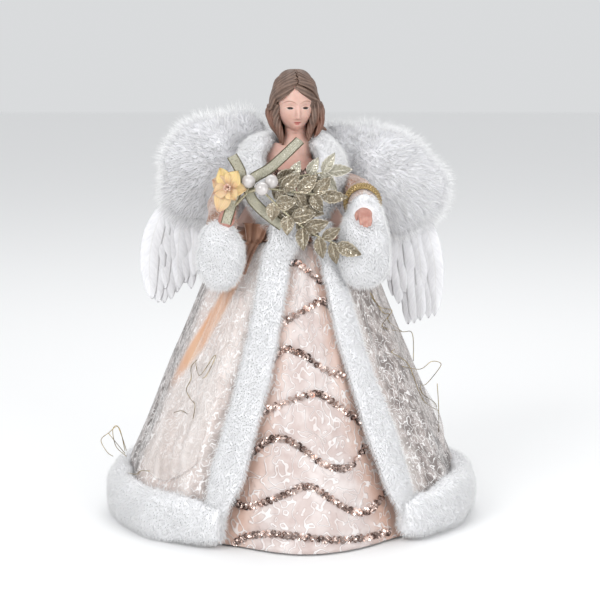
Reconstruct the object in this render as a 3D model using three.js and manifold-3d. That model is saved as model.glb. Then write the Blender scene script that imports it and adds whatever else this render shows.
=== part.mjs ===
// Angel figurine, 300 mm tall, as a three.js scene graph in millimetres.
// +Z is up, the angel faces -Y, and the origin is the centre of the footprint on the table.
// "Right" and "left" are the angel's own: the right side lies at -X.
import * as THREE from "three";
import { mergeVertices } from "three/addons/utils/BufferGeometryUtils.js";
import Module from "manifold-3d";

// Fits shared by every piece
const gap = 0.3;
const cutOverrun = 2;

// Facets of the round pieces, from the coarsest to the finest
const wireSideCount = 6;
const softSideCount = 10;
const roundSideCount = 12;
const smoothSideCount = 16;
const ballRingCount = 8;

// Heights stack up from the waist, each named for the step from the one before it
const waistHeight = 188;
const waistToChest = 26;
const chestToBodiceTop = 14;
const chestPlateRise = 10;
const neckRise = 10;
const headRise = 31;
const chestHeight = waistHeight + waistToChest;
const bodiceTop = chestHeight + chestToBodiceTop;
const plateShoulderHeight = bodiceTop + chestPlateRise;
const neckBottomHeight = plateShoulderHeight + neckRise;
const headHeight = neckBottomHeight + headRise;

// Dress: radii of the cones that the skirts follow
const clothThickness = 1.2;
const underskirtHemRadius = 106;
const underskirtWaistRadius = 43.3;
const underskirtFoot = 1.5;
const skirtFacetCount = 60;
const skirtRowCount = 2;
const frontFlare = 15;
const frontFlareAngle = 8;
const frontFlareHalfAngle = 34;
const rippleDepth = 1.6;
const rippleCount = 11;

// Inner cone: a moulded shell that slips over a tree's top shoot or stands on a table
const coneBelowWaist = 16;
const waddingAtHem = 10;
const waddingAtWaist = 5.3;
const waddingFoot = 2;
const coneHeight = waistHeight - coneBelowWaist;
const coneBaseRadius = underskirtHemRadius - waddingAtHem;
const coneTopRadius = underskirtWaistRadius - waddingAtWaist;
const coneWall = 1.6;
const coneTopPlate = 3;
const coneSideCount = 36;

// Neck post: a dowel from the cone's top plate up into the head
const postRadius = 3.5;
const postBelowPlate = 5;
const postSideCount = 14;

// Coat: three brocade panels, open at the front
const coatSpread = 12;
const coatHemRadius = underskirtHemRadius + coatSpread;
const coatThickness = 1.1;
const coatFoldDepth = 6;
const coatFoldCount = 11;
const coatFoldFadeAngle = 25;
const rightEdgeWaistAngle = -9;
const rightEdgeHemAngle = -27;
const leftEdgeWaistAngle = 27;
const leftEdgeHemAngle = 43;
const seamAngle = 112;
const coatRowCount = 4;
const rightPanelStepCount = 14;
const leftPanelStepCount = 12;
const backPanelStepCount = 22;

// Fur trim
const hemFurHeight = 33;
const hemFurThickness = 17;
const hemFurEndShare = 0.3;
const hemStepCount = 28;
const bandWaistWidth = 19;
const bandHemWidth = 28;
const bandThickness = 10;
const bandTopShare = 0.97;
const collarWidth = 23;
const collarThickness = 11;
const collarStepCount = 22;
const collarWidthShares = [0.72, 0.95, 1, 1, 0.85, 0.75, 0.85, 1, 1, 0.95, 0.72];

// Waist sash
const sashHeight = 8;
const sashThickness = 4.5;
const sashStepCount = 28;

// Torso: half-widths and half-depths of the stuffed bodice and the chest plate above it
const torsoWaistRadius = underskirtWaistRadius - gap;
const torsoChestWidth = 26;
const torsoChestDepth = 21;
const plateShoulderWidth = 21;
const plateShoulderDepth = 15;
const neckRadius = 7.5;
const torsoSideCount = 24;
const plateSideCount = 20;

// Neckline frill
const frillHeight = 9;
const frillThickness = 0.8;
const frillWave = 1.4;
const frillWaveCount = 5;
const frillHalfAngle = 46;

// Head and hair
const headOffsetX = 2.5;
const headForward = 2;
const headHalfWidth = 13.2;
const headHalfDepth = 15.5;
const headHalfHeight = 18.5;
const chinTaperShare = 0.42;
const noseLength = 3;
const noseShares = { x: 0, z: -0.3, width: 0.13, height: 0.2 };
const socketDepth = 1;
const eyeShares = { x: 0.36, z: -0.08, width: 0.18, height: 0.12 };
const neckTopShare = 0.33;
const hairThickness = 3.6;
const hairlineForward = 5.5;
const lockRadius = 4.6;
const faceSideCount = 22;
const faceRingCount = 14;
const capRingCount = 10;
const lockStepCount = 7;
const browSideCount = 4;
const browWidthShare = 0.84;
const browHeightShare = 1.35;

// Arms: a shoulder ball, a bell sleeve, a fur cuff, a resin hand and the wire through them
const shoulderRadius = 9;
const shoulderDrop = 5;
const shoulderHeight = bodiceTop - shoulderDrop;
const shoulderBack = 2;
const sleeveElbowRadius = 9.5;
const sleeveEndRadius = 10.5;
const sleeveInCuff = 5;
const armWireRadius = 0.9;
const armWireInBody = 9;
const armWireInHand = 5;
const armWireStepCount = 14;
const sleeveStepCount = 6;
const handLength = 17;
const handHalfWidth = 5;
const handHalfThickness = 3.2;
const thumbRadius = 1.4;
const thumbLength = 9;
const thumbRootShare = 0.35;
const palmShares = [
  { place: 0, width: 0.55 },
  { place: 0.25, width: 0.6 },
  { place: 0.5, width: 0.95 },
  { place: 0.75, width: 1 },
  { place: 0.93, width: 0.75 },
  { place: 1, width: 0.35 },
];
const braidWidth = 4;
const braidThickness = 1.1;
const braidPlaceShare = 0.62;

// Each arm's own places: how far out, in front of the waist and below the shoulder its cuff and wrist lie
const cuffForward = 15;
const cuffHalfDepth = 10;
const rightCuffOut = 45;
const rightCuffDrop = 40;
const rightCuffHalfWidth = 17;
const rightCuffHalfHeight = 25;
const rightWristOut = 44;
const rightWristForward = 17;
const rightWristDrop = 22;
const leftCuffOut = 47;
const leftCuffDrop = 35;
const leftCuffHalfWidth = 18.5;
const leftCuffHalfHeight = 30;
const leftWristOut = 47;
const leftWristForward = 15;
const leftWristDrop = 10;
const armPlace = (out, forward, drop) => {
  return { x: out, y: -torsoWaistRadius - forward, z: shoulderHeight - drop };
};
const rightArm = {
  side: -1,
  cuff: armPlace(rightCuffOut, cuffForward, rightCuffDrop),
  cuffHalfWidth: rightCuffHalfWidth,
  cuffHalfHeight: rightCuffHalfHeight,
  wrist: armPlace(rightWristOut, rightWristForward, rightWristDrop),
  handDirectionShares: [-0.45, -0.25, 0.85],
};
const leftArm = {
  side: 1,
  cuff: armPlace(leftCuffOut, cuffForward, leftCuffDrop),
  cuffHalfWidth: leftCuffHalfWidth,
  cuffHalfHeight: leftCuffHalfHeight,
  wrist: armPlace(leftWristOut, leftWristForward, leftWristDrop),
  handDirectionShares: [0.05, -0.75, -0.35],
};

// Wing mount: a plate with lugs at the back of the bodice, and a pin for each wing
const mountWidth = 36;
const mountHeight = 24;
const mountThickness = 2.6;
const mountDrop = 13.5;
const mountBottom = bodiceTop - mountDrop;
const lugSize = 7;
const lugHeight = 4;
const pinRadius = 1.1;
const pinHeadHeight = 0.8;
const hingeOut = 12;
const hingeBehindChest = 13;
const hingeY = torsoChestDepth + hingeBehindChest;
const hingeRise = 14.5;
const hingeHeight = mountBottom + hingeRise;
const knuckleRadius = 3;
const knuckleHeight = 9;

// Wings: a place in the wing is given as shares of its span and of its height, from its lowest feather tip
const wingSpan = 96;
const wingHeight = 151;
const hingeHeightShare = 0.65;
const wingBottom = hingeHeight - hingeHeightShare * wingHeight;
const knuckleHalfShare = knuckleHeight / 2 / wingHeight;
const wingForward = 9;
const backingThickness = 1.2;
const backingStepCount = 12;
const downHalfThickness = 8;
const downSideCount = 14;
const featherThickness = 0.6;
const featherWidth = 19;

// Bouquet
const pickRadius = 0.9;
const pearlRadius = 4.1;
const leafLength = 15;
const leafWidth = 8;
const leafThickness = 0.7;
const stemRadius = 0.7;
const stemTaperShare = 0.8;
const stemStepCount = 8;
const stemSideCount = 5;
const leafSpreadAngle = 48;
const leafPairCount = 4;
const firstLeafShare = 0.18;
const lastLeafShare = 0.9;
const ribbonWidth = 7;
const ribbonThickness = 0.5;
const ribbonStepCount = 10;
const petalLength = 12;
const petalWidth = 10.5;
const petalThickness = 0.9;
const petalCount = 5;
const petalCupShare = 0.35;
const petalTurnShare = 0.25;
const flowerFacingShares = [-0.5, -0.85, 0.1];
const flowerCentreRadius = 2.4;
const bouquetSpan = 50;
const crossingInward = 17;
const crossingForward = 13;
const crossingRise = 23;

// Sequin rows and sheer scarves
const sequinRowWidth = 4;
const sequinThickness = 0.8;
const sequinStepCount = 16;
const scarfThickness = 0.6;
const scarfStepCount = 10;
const scarfRowCount = 8;
const rightScarf = { fromAngle: -60, toAngle: -38, foot: 4 };
const leftScarf = { fromAngle: 68, toAngle: 92, foot: 16 };
const scarfPuff = 7;
const scarfPuffShare = 0.4;

const wasm = await Module();
wasm.setup();

const vec = (x, y, z) => new THREE.Vector3(x, y, z);
const radians = THREE.MathUtils.degToRad;
const lerp = THREE.MathUtils.lerp;
const clamp = THREE.MathUtils.clamp;
const fullTurn = 360;

// A closed solid as a three.js geometry, from triangles given as lists of three points.
// The faces are turned to point outwards, whichever way they were listed.
function closedGeometry(triangles) {
  const signedVolume = triangles.reduce((sum, [a, b, c]) => sum + a.dot(b.clone().cross(c)), 0);
  const ordered = signedVolume < 0 ? triangles.map(([a, b, c]) => [a, c, b]) : triangles;
  const positions = ordered.flatMap((t) => t.flatMap((p) => [p.x, p.y, p.z]));
  const geometry = new THREE.BufferGeometry();
  geometry.setAttribute("position", new THREE.Float32BufferAttribute(positions, 3));
  return geometry;
}

// A solid whose skin runs through a row of convex rings, with a cap at each end.
function loft(rings) {
  const triangles = [];
  const count = rings[0].length;
  for (let i = 0; i + 1 < rings.length; i++) {
    for (let j = 0; j < count; j++) {
      const k = (j + 1) % count;
      triangles.push([rings[i][j], rings[i][k], rings[i + 1][k]]);
      triangles.push([rings[i][j], rings[i + 1][k], rings[i + 1][j]]);
    }
  }
  const cap = (ring, flip) => {
    const middle = ring.reduce((sum, p) => sum.add(p), vec(0, 0, 0)).divideScalar(count);
    for (let j = 0; j < count; j++) {
      const k = (j + 1) % count;
      triangles.push(flip ? [middle, ring[j], ring[k]] : [middle, ring[k], ring[j]]);
    }
  };
  cap(rings[0], false);
  cap(rings[rings.length - 1], true);
  return closedGeometry(triangles);
}

// A sheet of cloth or card: front and back are functions of u across and v along, each from 0 to 1.
// A wrapped sheet closes on itself across, as a skirt does.
function sheet(front, back, across, along, wrapped = false) {
  const grid = (f) =>
    Array.from({ length: along + 1 }, (_, i) =>
      Array.from({ length: wrapped ? across : across + 1 }, (_, j) => f(j / across, i / along)),
    );
  const faces = [grid(front), grid(back)];
  const triangles = [];
  const quad = (a, b, c, d) => triangles.push([a, b, c], [a, c, d]);
  const columns = faces[0][0].length;
  const strips = wrapped ? columns : columns - 1;
  for (let j = 0; j < strips; j++) {
    const k = (j + 1) % columns;
    for (let i = 0; i < along; i++) {
      quad(faces[0][i][j], faces[0][i][k], faces[0][i + 1][k], faces[0][i + 1][j]);
      quad(faces[1][i][k], faces[1][i][j], faces[1][i + 1][j], faces[1][i + 1][k]);
    }
    quad(faces[1][0][j], faces[1][0][k], faces[0][0][k], faces[0][0][j]);
    quad(faces[0][along][j], faces[0][along][k], faces[1][along][k], faces[1][along][j]);
  }
  if (!wrapped) {
    const last = columns - 1;
    for (let i = 0; i < along; i++) {
      quad(faces[0][i][0], faces[0][i + 1][0], faces[1][i + 1][0], faces[1][i][0]);
      quad(faces[0][i + 1][last], faces[0][i][last], faces[1][i][last], faces[1][i + 1][last]);
    }
  }
  return closedGeometry(triangles);
}

// An ellipse of points round a centre, in the plane of two directions.
function ellipseRing(centre, first, second, halfFirst, halfSecond, sides) {
  return Array.from({ length: sides }, (_, i) => {
    const a = (i / sides) * 2 * Math.PI;
    return centre
      .clone()
      .addScaledVector(first, Math.cos(a) * halfFirst)
      .addScaledVector(second, Math.sin(a) * halfSecond);
  });
}

// A tapered tube along a smooth curve. normalAt gives the thickness direction, where one is set.
function taperedTube(points, halfWidths, halfThicknesses, steps, sides, normalAt = null) {
  const curve = new THREE.CatmullRomCurve3(points);
  const frames = curve.computeFrenetFrames(steps, false);
  const value = (list, t) => {
    const place = t * (list.length - 1);
    const i = Math.min(Math.floor(place), list.length - 2);
    return lerp(list[i], list[i + 1], place - i);
  };
  const rings = [];
  for (let i = 0; i <= steps; i++) {
    const t = i / steps;
    const tangent = curve.getTangent(t);
    const centre = curve.getPoint(t);
    const normal = normalAt ? normalAt(t, centre) : frames.normals[i].clone();
    normal.addScaledVector(tangent, -normal.dot(tangent)).normalize();
    const binormal = tangent.clone().cross(normal).normalize();
    rings.push(
      ellipseRing(centre, binormal, normal, value(halfWidths, t), value(halfThicknesses, t), sides),
    );
  }
  return loft(rings);
}

// Between a three.js geometry and a solid that can be cut and joined
function solidFrom(geometry) {
  const source = geometry.index ? geometry.toNonIndexed() : geometry;
  const bare = new THREE.BufferGeometry();
  bare.setAttribute("position", source.getAttribute("position"));
  const merged = mergeVertices(bare, 1e-4);
  return new wasm.Manifold(
    new wasm.Mesh({
      numProp: 3,
      vertProperties: merged.attributes.position.array,
      triVerts: new Uint32Array(merged.index.array),
    }),
  );
}

function geometryFrom(solid) {
  const pieces = solid.decompose();
  const largest = pieces.reduce((best, p) => (p.volume() > best.volume() ? p : best));
  const mesh = largest.getMesh();
  const geometry = new THREE.BufferGeometry();
  geometry.setAttribute("position", new THREE.Float32BufferAttribute(mesh.vertProperties, 3));
  geometry.setIndex(new THREE.BufferAttribute(mesh.triVerts, 1));
  return geometry;
}

const joined = (geometries) => geometryFrom(wasm.Manifold.union(geometries.map(solidFrom)));

function cut(geometry, ...tools) {
  return geometryFrom(tools.reduce((rest, tool) => rest.subtract(solidFrom(tool)), solidFrom(geometry)));
}

const mirrored = (geometry) => {
  const source = geometry.index ? geometry.toNonIndexed() : geometry;
  const at = source.getAttribute("position");
  const point = (i) => vec(-at.getX(i), at.getY(i), at.getZ(i));
  const corners = Array.from({ length: at.count / 3 }, (_, i) => [3 * i, 3 * i + 1, 3 * i + 2]);
  return closedGeometry(corners.map((t) => t.map(point)));
};

// A straight round bar between two points
function bar(from, to, radius, sides) {
  const along = to.clone().sub(from);
  const geometry = new THREE.CylinderGeometry(radius, radius, along.length(), sides);
  geometry.applyQuaternion(new THREE.Quaternion().setFromUnitVectors(vec(0, 1, 0), along.normalize()));
  const middle = from.clone().add(to).divideScalar(2);
  geometry.translate(middle.x, middle.y, middle.z);
  return geometry;
}

// Materials
const finish = (color, roughness, metalness = 0) =>
  new THREE.MeshStandardMaterial({ color, roughness, metalness });
const card = finish("#d9d2c4", 0.9);
const wood = finish("#c9a777", 0.7);
const steel = finish("#a9a9ab", 0.35, 1);
const wadding = finish("#f2f0ec", 1);
const blushSatin = finish("#efd3c5", 0.55);
const brocade = finish("#dcd0c8", 0.6);
const copperSatin = finish("#a8744f", 0.4);
const fur = finish("#f3f3f4", 1);
const skin = finish("#eac3ae", 0.5);
const hairPaint = finish("#6f5a4d", 0.5);
const feather = finish("#f6f6f7", 0.85);
const roseGold = finish("#c98f77", 0.25, 0.9);
const glitterLeaf = finish("#b3a985", 0.4, 0.6);
const ribbonGold = finish("#c2bd97", 0.4, 0.4);
const petalSilk = finish("#f0bb62", 0.7);
const pearlWhite = finish("#e8e4df", 0.25);
const sheer = finish("#e9ddd4", 0.6);

const angel = new THREE.Group();
function add(name, geometry, material) {
  const mesh = new THREE.Mesh(geometry, material);
  mesh.name = name;
  angel.add(mesh);
}

// Direction and place round the body: 0 degrees faces front and 90 degrees is the angel's left side
const roundBody = (degrees, radius, z) =>
  vec(radius * Math.sin(radians(degrees)), -radius * Math.cos(radians(degrees)), z);
const outward = (degrees) => roundBody(degrees, 1, 0);

// Radius of a skirt at a height, and the height as a share of the way from hem to waist
const skirtShare = (z) => clamp(z / waistHeight, 0, 1);
const skirtRadius = (z, hemRadius, waistRadius) => lerp(hemRadius, waistRadius, skirtShare(z));

// Inner cone and the post through its top plate
const coneRadius = (z) => lerp(coneBaseRadius, coneTopRadius, z / coneHeight);
{
  const top = coneHeight - coneTopPlate;
  const profile = [
    [coneBaseRadius, 0],
    [coneTopRadius, coneHeight],
    [postRadius + gap, coneHeight],
    [postRadius + gap, top],
    [coneRadius(top) - coneWall, top],
    [coneBaseRadius - coneWall, 0],
    [coneBaseRadius, 0],
  ].map(([r, z]) => new THREE.Vector2(r, z));
  const shell = new THREE.LatheGeometry(profile, coneSideCount);
  add("inner_cone", shell.rotateX(Math.PI / 2), card);
}

// Torso: one smooth form that the bodice and the chest plate share
const torsoStations = [
  { z: coneHeight + gap, width: torsoWaistRadius, depth: torsoWaistRadius },
  { z: waistHeight, width: torsoWaistRadius, depth: torsoWaistRadius },
  { z: chestHeight, width: torsoChestWidth, depth: torsoChestDepth },
  { z: bodiceTop, width: torsoChestWidth, depth: torsoChestDepth },
  { z: plateShoulderHeight, width: plateShoulderWidth, depth: plateShoulderDepth },
  { z: neckBottomHeight, width: neckRadius, depth: neckRadius },
];
function torsoAt(z) {
  const i = torsoStations.findIndex((s) => s.z > z);
  if (i < 0) return torsoStations[torsoStations.length - 1];
  if (i === 0) return torsoStations[0];
  const [a, b] = [torsoStations[i - 1], torsoStations[i]];
  const t = (z - a.z) / (b.z - a.z);
  return { z, width: lerp(a.width, b.width, t), depth: lerp(a.depth, b.depth, t) };
}
// A point outside the torso at an angle and height, a given distance off its skin
function offTorso(degrees, z, distance) {
  const { width, depth } = torsoAt(z);
  const a = radians(degrees);
  return vec((width + distance) * Math.sin(a), -(depth + distance) * Math.cos(a), z);
}
const torsoRing = (z, sides) =>
  Array.from({ length: sides }, (_, i) => offTorso((i / sides) * fullTurn, z, 0));

const socketHeight = headHeight - headHalfHeight / 2;
const postTop = socketHeight - gap;
const postBottom = coneHeight - coneTopPlate - postBelowPlate;
const post = (radius, from, to) => bar(vec(0, 0, from), vec(0, 0, to), radius, postSideCount);

// The arm's line: from the shoulder through the elbow into the back of the cuff, and on to the hand
const shoulderX = torsoChestWidth + gap + shoulderRadius;
const shoulder = vec(shoulderX, shoulderBack, shoulderHeight);
const wristOf = (arm) => vec(arm.wrist.x, arm.wrist.y, arm.wrist.z);
const handDirectionOf = (arm) => vec(...arm.handDirectionShares).normalize();
function sleevePoints(arm) {
  const cuffBack = vec(arm.wrist.x, arm.cuff.y + cuffHalfDepth - sleeveInCuff, arm.wrist.z);
  const elbow = shoulder.clone().lerp(cuffBack, 0.5);
  elbow.x += shoulderRadius / 2;
  return [shoulder.clone(), elbow, cuffBack];
}
function armWire(arm, grow) {
  const radius = armWireRadius + grow;
  const inner = vec(torsoChestWidth - armWireInBody - grow, shoulderBack, shoulderHeight);
  const outlet = vec(torsoChestWidth + gap, shoulderBack, shoulderHeight);
  const tip = wristOf(arm).addScaledVector(handDirectionOf(arm), armWireInHand + grow);
  const route = [inner, outlet, ...sleevePoints(arm), wristOf(arm), tip];
  return taperedTube(route, [radius, radius], [radius, radius], armWireStepCount, wireSideCount);
}

{
  const heights = [coneHeight + gap, waistHeight, (waistHeight + chestHeight) / 2, chestHeight, bodiceTop];
  const body = loft(heights.map((z) => torsoRing(z, torsoSideCount)));
  const postHole = post(postRadius + gap, coneHeight - cutOverrun, bodiceTop + cutOverrun);
  const wires = [armWire(leftArm, gap), mirrored(armWire(rightArm, gap))];
  add("bodice", cut(body, postHole, ...wires), blushSatin);
  add("neck_post", post(postRadius, postBottom, postTop), wood);
}

// Head: an egg with a tapered chin, a nose and eye hollows, on a neck and a chest plate
const headCentre = vec(headOffsetX, -headForward, headHeight);
function headSkin(direction, grow) {
  const d = direction.clone().normalize();
  const below = clamp(-d.z, 0, 1);
  const narrow = 1 - chinTaperShare * below ** 1.5;
  const shallow = 1 - (chinTaperShare / 2) * below;
  const p = vec(d.x * headHalfWidth * narrow, d.y * headHalfDepth * shallow, d.z * headHalfHeight);
  const bump = (place, side) =>
    Math.exp(-(((d.x - side * place.x) / place.width) ** 2) - ((d.z - place.z) / place.height) ** 2);
  const relief = noseLength * bump(noseShares, 1) - socketDepth * (bump(eyeShares, -1) + bump(eyeShares, 1));
  if (d.y < 0) p.y -= relief;
  return p.addScaledVector(d, grow).add(headCentre);
}
function headBall(grow, across, down) {
  const ball = new THREE.SphereGeometry(1, across, down).rotateX(Math.PI / 2);
  const at = ball.getAttribute("position");
  for (let i = 0; i < at.count; i++) {
    const p = headSkin(vec(at.getX(i), at.getY(i), at.getZ(i)), grow);
    at.setXYZ(i, p.x, p.y, p.z);
  }
  ball.deleteAttribute("normal");
  ball.deleteAttribute("uv");
  return ball;
}
const neckTop = headHeight - headHalfHeight * neckTopShare;
function bust(grow) {
  const plateHeights = [bodiceTop + gap, (bodiceTop + plateShoulderHeight) / 2, plateShoulderHeight];
  const slopeShares = [0.35, 0.7, 1];
  const slope = slopeShares.map((t) => lerp(plateShoulderHeight, neckBottomHeight, t));
  const rings = [...plateHeights, ...slope].map((z) => torsoRing(z, plateSideCount));
  const neckRings = [0, 0.5, 1].map((t) => {
    const centre = vec(headCentre.x * t, headCentre.y * t, lerp(neckBottomHeight - gap, neckTop, t));
    return ellipseRing(centre, vec(1, 0, 0), vec(0, 1, 0), neckRadius + grow, neckRadius + grow, smoothSideCount);
  });
  return [loft(rings), loft(neckRings), headBall(grow, faceSideCount, faceRingCount)];
}
{
  const socket = post(postRadius + gap, bodiceTop - cutOverrun, socketHeight);
  add("head", cut(joined(bust(0)), socket), skin);
}

// Hair: a cap over the skull with a centre parting, and waved locks down to the collar.
// Each lock runs through places given as shares of the head's half-width, half-depth and half-height.
const lockRadiusShares = [0.8, 1.15, 0.85, 1.1, 0.5];
const napeRadiusShares = [1.6, 1.8, 1.6, 1.5, 0.9];
const lockPlaceShares = [
  [[1.0, -0.25, 0.35], [1.22, -0.3, -0.1], [1.02, -0.42, -0.55], [1.24, -0.4, -0.95], [0.98, -0.5, -1.5]],
  [[1.02, 0.2, 0.3], [1.3, 0.15, -0.2], [1.12, 0.05, -0.62], [1.42, 0.0, -1.0], [1.1, -0.1, -1.4]],
  [[0.6, 0.85, 0.2], [0.85, 1.0, -0.3], [0.7, 0.95, -0.7], [0.85, 0.95, -1.05], [0.6, 0.8, -1.35]],
];
const napePlaceShares = [[0, 1.0, 0.3], [0, 1.12, -0.3], [0, 1.05, -0.7], [0, 1.0, -1.05], [0, 0.8, -1.3]];
function lock(side, placeShares, radiusShares, grow) {
  const points = placeShares.map(([x, y, z]) =>
    vec(side * x * headHalfWidth, y * headHalfDepth, z * headHalfHeight).add(headCentre),
  );
  const radii = radiusShares.map((share) => share * lockRadius + grow);
  return taperedTube(points, radii, radii, lockStepCount, wireSideCount);
}
function hairPieces(grow) {
  const oneSide = (side) => lockPlaceShares.map((p) => lock(side, p, lockRadiusShares, grow));
  const sides = [1, -1].flatMap(oneSide);
  return [...sides, lock(1, napePlaceShares, napeRadiusShares, grow)];
}
{
  const cap = headBall(hairThickness, smoothSideCount, capRingCount);
  const hairlineY = headCentre.y - hairlineForward;
  const browRadius = headHalfWidth * browWidthShare;
  const brow = new THREE.CylinderGeometry(browRadius, browRadius, 2 * headHalfDepth, browSideCount);
  brow.scale(1, 1, browHeightShare);
  brow.translate(headCentre.x, hairlineY - headHalfDepth, headCentre.z);
  const front = new THREE.BoxGeometry(4 * headHalfWidth, 2 * headHalfDepth, 2 * headHalfHeight);
  front.translate(headCentre.x, hairlineY - headHalfDepth, headCentre.z - headHalfHeight);
  const face = solidFrom(front).add(solidFrom(brow));
  const mass = wasm.Manifold.union(hairPieces(0).map(solidFrom)).add(solidFrom(cap).subtract(face));
  const inside = wasm.Manifold.union(bust(gap).map(solidFrom));
  add("hair", geometryFrom(mass.subtract(inside)), hairPaint);
}

// Arms. Each piece is made at +X and mirrored for the right arm.
function sleeveForm(arm, grow) {
  const points = sleevePoints(arm);
  const radii = [shoulderRadius, sleeveElbowRadius, sleeveEndRadius].map((r) => r + grow);
  const ball = new THREE.SphereGeometry(shoulderRadius + grow, roundSideCount, ballRingCount);
  ball.translate(shoulder.x, shoulder.y, shoulder.z);
  const pieces = [ball, taperedTube(points, radii, radii, sleeveStepCount, roundSideCount)];
  if (grow > 0) {
    const end = points[points.length - 1];
    const beyond = new THREE.CatmullRomCurve3(points).getTangent(1).multiplyScalar(grow);
    pieces.push(bar(end.clone().sub(beyond), end.clone().add(beyond), sleeveEndRadius + grow, roundSideCount));
  }
  return joined(pieces);
}
function handForm(arm, grow) {
  const along = handDirectionOf(arm);
  const start = wristOf(arm).addScaledVector(along, -grow);
  const across = vec(1, 0, 0).addScaledVector(along, -along.x).normalize();
  const facing = along.clone().cross(across).normalize();
  const rings = palmShares.map(({ place, width }) => {
    const centre = start.clone().addScaledVector(along, place * (handLength + 2 * grow));
    const thick = handHalfThickness * Math.sqrt(width);
    return ellipseRing(centre, across, facing, handHalfWidth * width + grow, thick + grow, softSideCount);
  });
  const root = start.clone().addScaledVector(along, handLength * thumbRootShare);
  const reach = along.clone().sub(across).normalize().multiplyScalar(thumbLength + grow);
  const thumbEnd = root.clone().add(reach);
  return joined([loft(rings), bar(root, thumbEnd, thumbRadius + grow, ballRingCount)]);
}
function cuffForm(arm) {
  const { x, y, z } = arm.cuff;
  const form = new THREE.SphereGeometry(1, smoothSideCount, softSideCount).rotateX(Math.PI / 2);
  return form.scale(arm.cuffHalfWidth, cuffHalfDepth, arm.cuffHalfHeight).translate(x, y, z);
}
function braidForm(arm) {
  const [, elbow, end] = sleevePoints(arm);
  const middle = elbow.clone().lerp(end, braidPlaceShare);
  const along = end.clone().sub(elbow).normalize().multiplyScalar(braidWidth / 2);
  const radius = sleeveEndRadius + gap + braidThickness;
  const band = bar(middle.clone().sub(along), middle.clone().add(along), radius, plateSideCount);
  return cut(band, sleeveForm(arm, gap));
}
for (const [name, arm] of [["right", rightArm], ["left", leftArm]]) {
  const onSide = (geometry) => (arm.side < 0 ? mirrored(geometry) : geometry);
  add(`arm_wire_${name}`, onSide(armWire(arm, 0)), steel);
  add(`hand_${name}`, onSide(cut(handForm(arm, 0), armWire(arm, gap))), skin);
  add(`sleeve_${name}`, onSide(cut(sleeveForm(arm, 0), armWire(arm, gap), handForm(arm, gap))), brocade);
  const cuff = cut(cuffForm(arm), sleeveForm(arm, gap), handForm(arm, gap), armWire(arm, gap));
  add(`cuff_${name}`, onSide(cuff), fur);
}
add("cuff_braid_left", braidForm(leftArm), roseGold);

// Neckline frill round the front of the chest
{
  const surface = (off) => (u, v) => {
    const degrees = lerp(-frillHalfAngle, frillHalfAngle, u);
    const wave = (frillWave * (1 + Math.cos(u * 2 * Math.PI * frillWaveCount))) / 2;
    const z = bodiceTop + (v - 1 / 2) * frillHeight;
    return offTorso(degrees, z, off + wave * v);
  };
  const stepCount = 4 * frillWaveCount;
  add("neckline_frill", sheet(surface(gap + frillThickness), surface(gap), stepCount, 2), roseGold);
}

// Underskirt: a blush bell whose front hem flares and ripples between the coat's edges
const frontWindow = (degrees) => {
  const x = (degrees - frontFlareAngle) / frontFlareHalfAngle;
  return Math.abs(x) < 1 ? Math.cos((x * Math.PI) / 2) ** 2 : 0;
};
function skirtLine(degrees, z) {
  const low = 1 - skirtShare(z);
  const ripple = (rippleDepth * (1 + Math.cos(radians(degrees * rippleCount)))) / 2;
  const plain = skirtRadius(z, underskirtHemRadius, underskirtWaistRadius);
  return plain + frontWindow(degrees) * low * (frontFlare + ripple);
}
{
  const surface = (lift) => (u, v) => {
    const degrees = lerp(-180, 180, u);
    const z = lerp(underskirtFoot, waistHeight, v);
    return roundBody(degrees, skirtLine(degrees, z) + lift, z);
  };
  const cloth = sheet(surface(clothThickness), surface(0), skirtFacetCount, skirtRowCount, true);
  add("underskirt", cloth, blushSatin);
}

// Skirt wadding between the cone and the underskirt, which it backs all over
{
  const surface = (radiusAt) => (u, v) => {
    const degrees = lerp(-180, 180, u);
    const z = lerp(waddingFoot, coneHeight, v);
    return roundBody(degrees, radiusAt(degrees, z), z);
  };
  const outside = surface((degrees, z) => skirtLine(degrees, z) - 3 * gap);
  const inside = surface((degrees, z) => coneRadius(z) + gap);
  add("skirt_wadding", sheet(outside, inside, skirtFacetCount, skirtRowCount, true), wadding);
}

// Sequin rows: wavy strips that follow the underskirt, given as shares of the skirt's height
const coatEdges = (z) => [
  lerp(rightEdgeHemAngle, rightEdgeWaistAngle, skirtShare(z)),
  lerp(leftEdgeHemAngle, leftEdgeWaistAngle, skirtShare(z)),
];
function frontMargin(z) {
  const width = lerp(bandHemWidth, bandWaistWidth, skirtShare(z)) / 2;
  return THREE.MathUtils.radToDeg(width / skirtRadius(z, underskirtHemRadius, underskirtWaistRadius)) / 2;
}
const sequinRows = [
  { heightShare: 0.035, waveShare: 0.012, waves: 1.6, phase: 0.2 },
  { heightShare: 0.165, waveShare: 0.04, waves: 1.9, phase: 0.55 },
  { heightShare: 0.32, waveShare: 0.035, waves: 1.35, phase: 0.05 },
  { heightShare: 0.47, waveShare: 0.03, waves: 1.0, phase: 0.5 },
  { heightShare: 0.61, waveShare: 0.035, waves: 0.75, phase: 0.1 },
  { heightShare: 0.745, waveShare: 0.022, waves: 0.9, phase: 0.55 },
  { heightShare: 0.87, waveShare: 0.012, waves: 0.7, phase: 0.3 },
];
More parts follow.
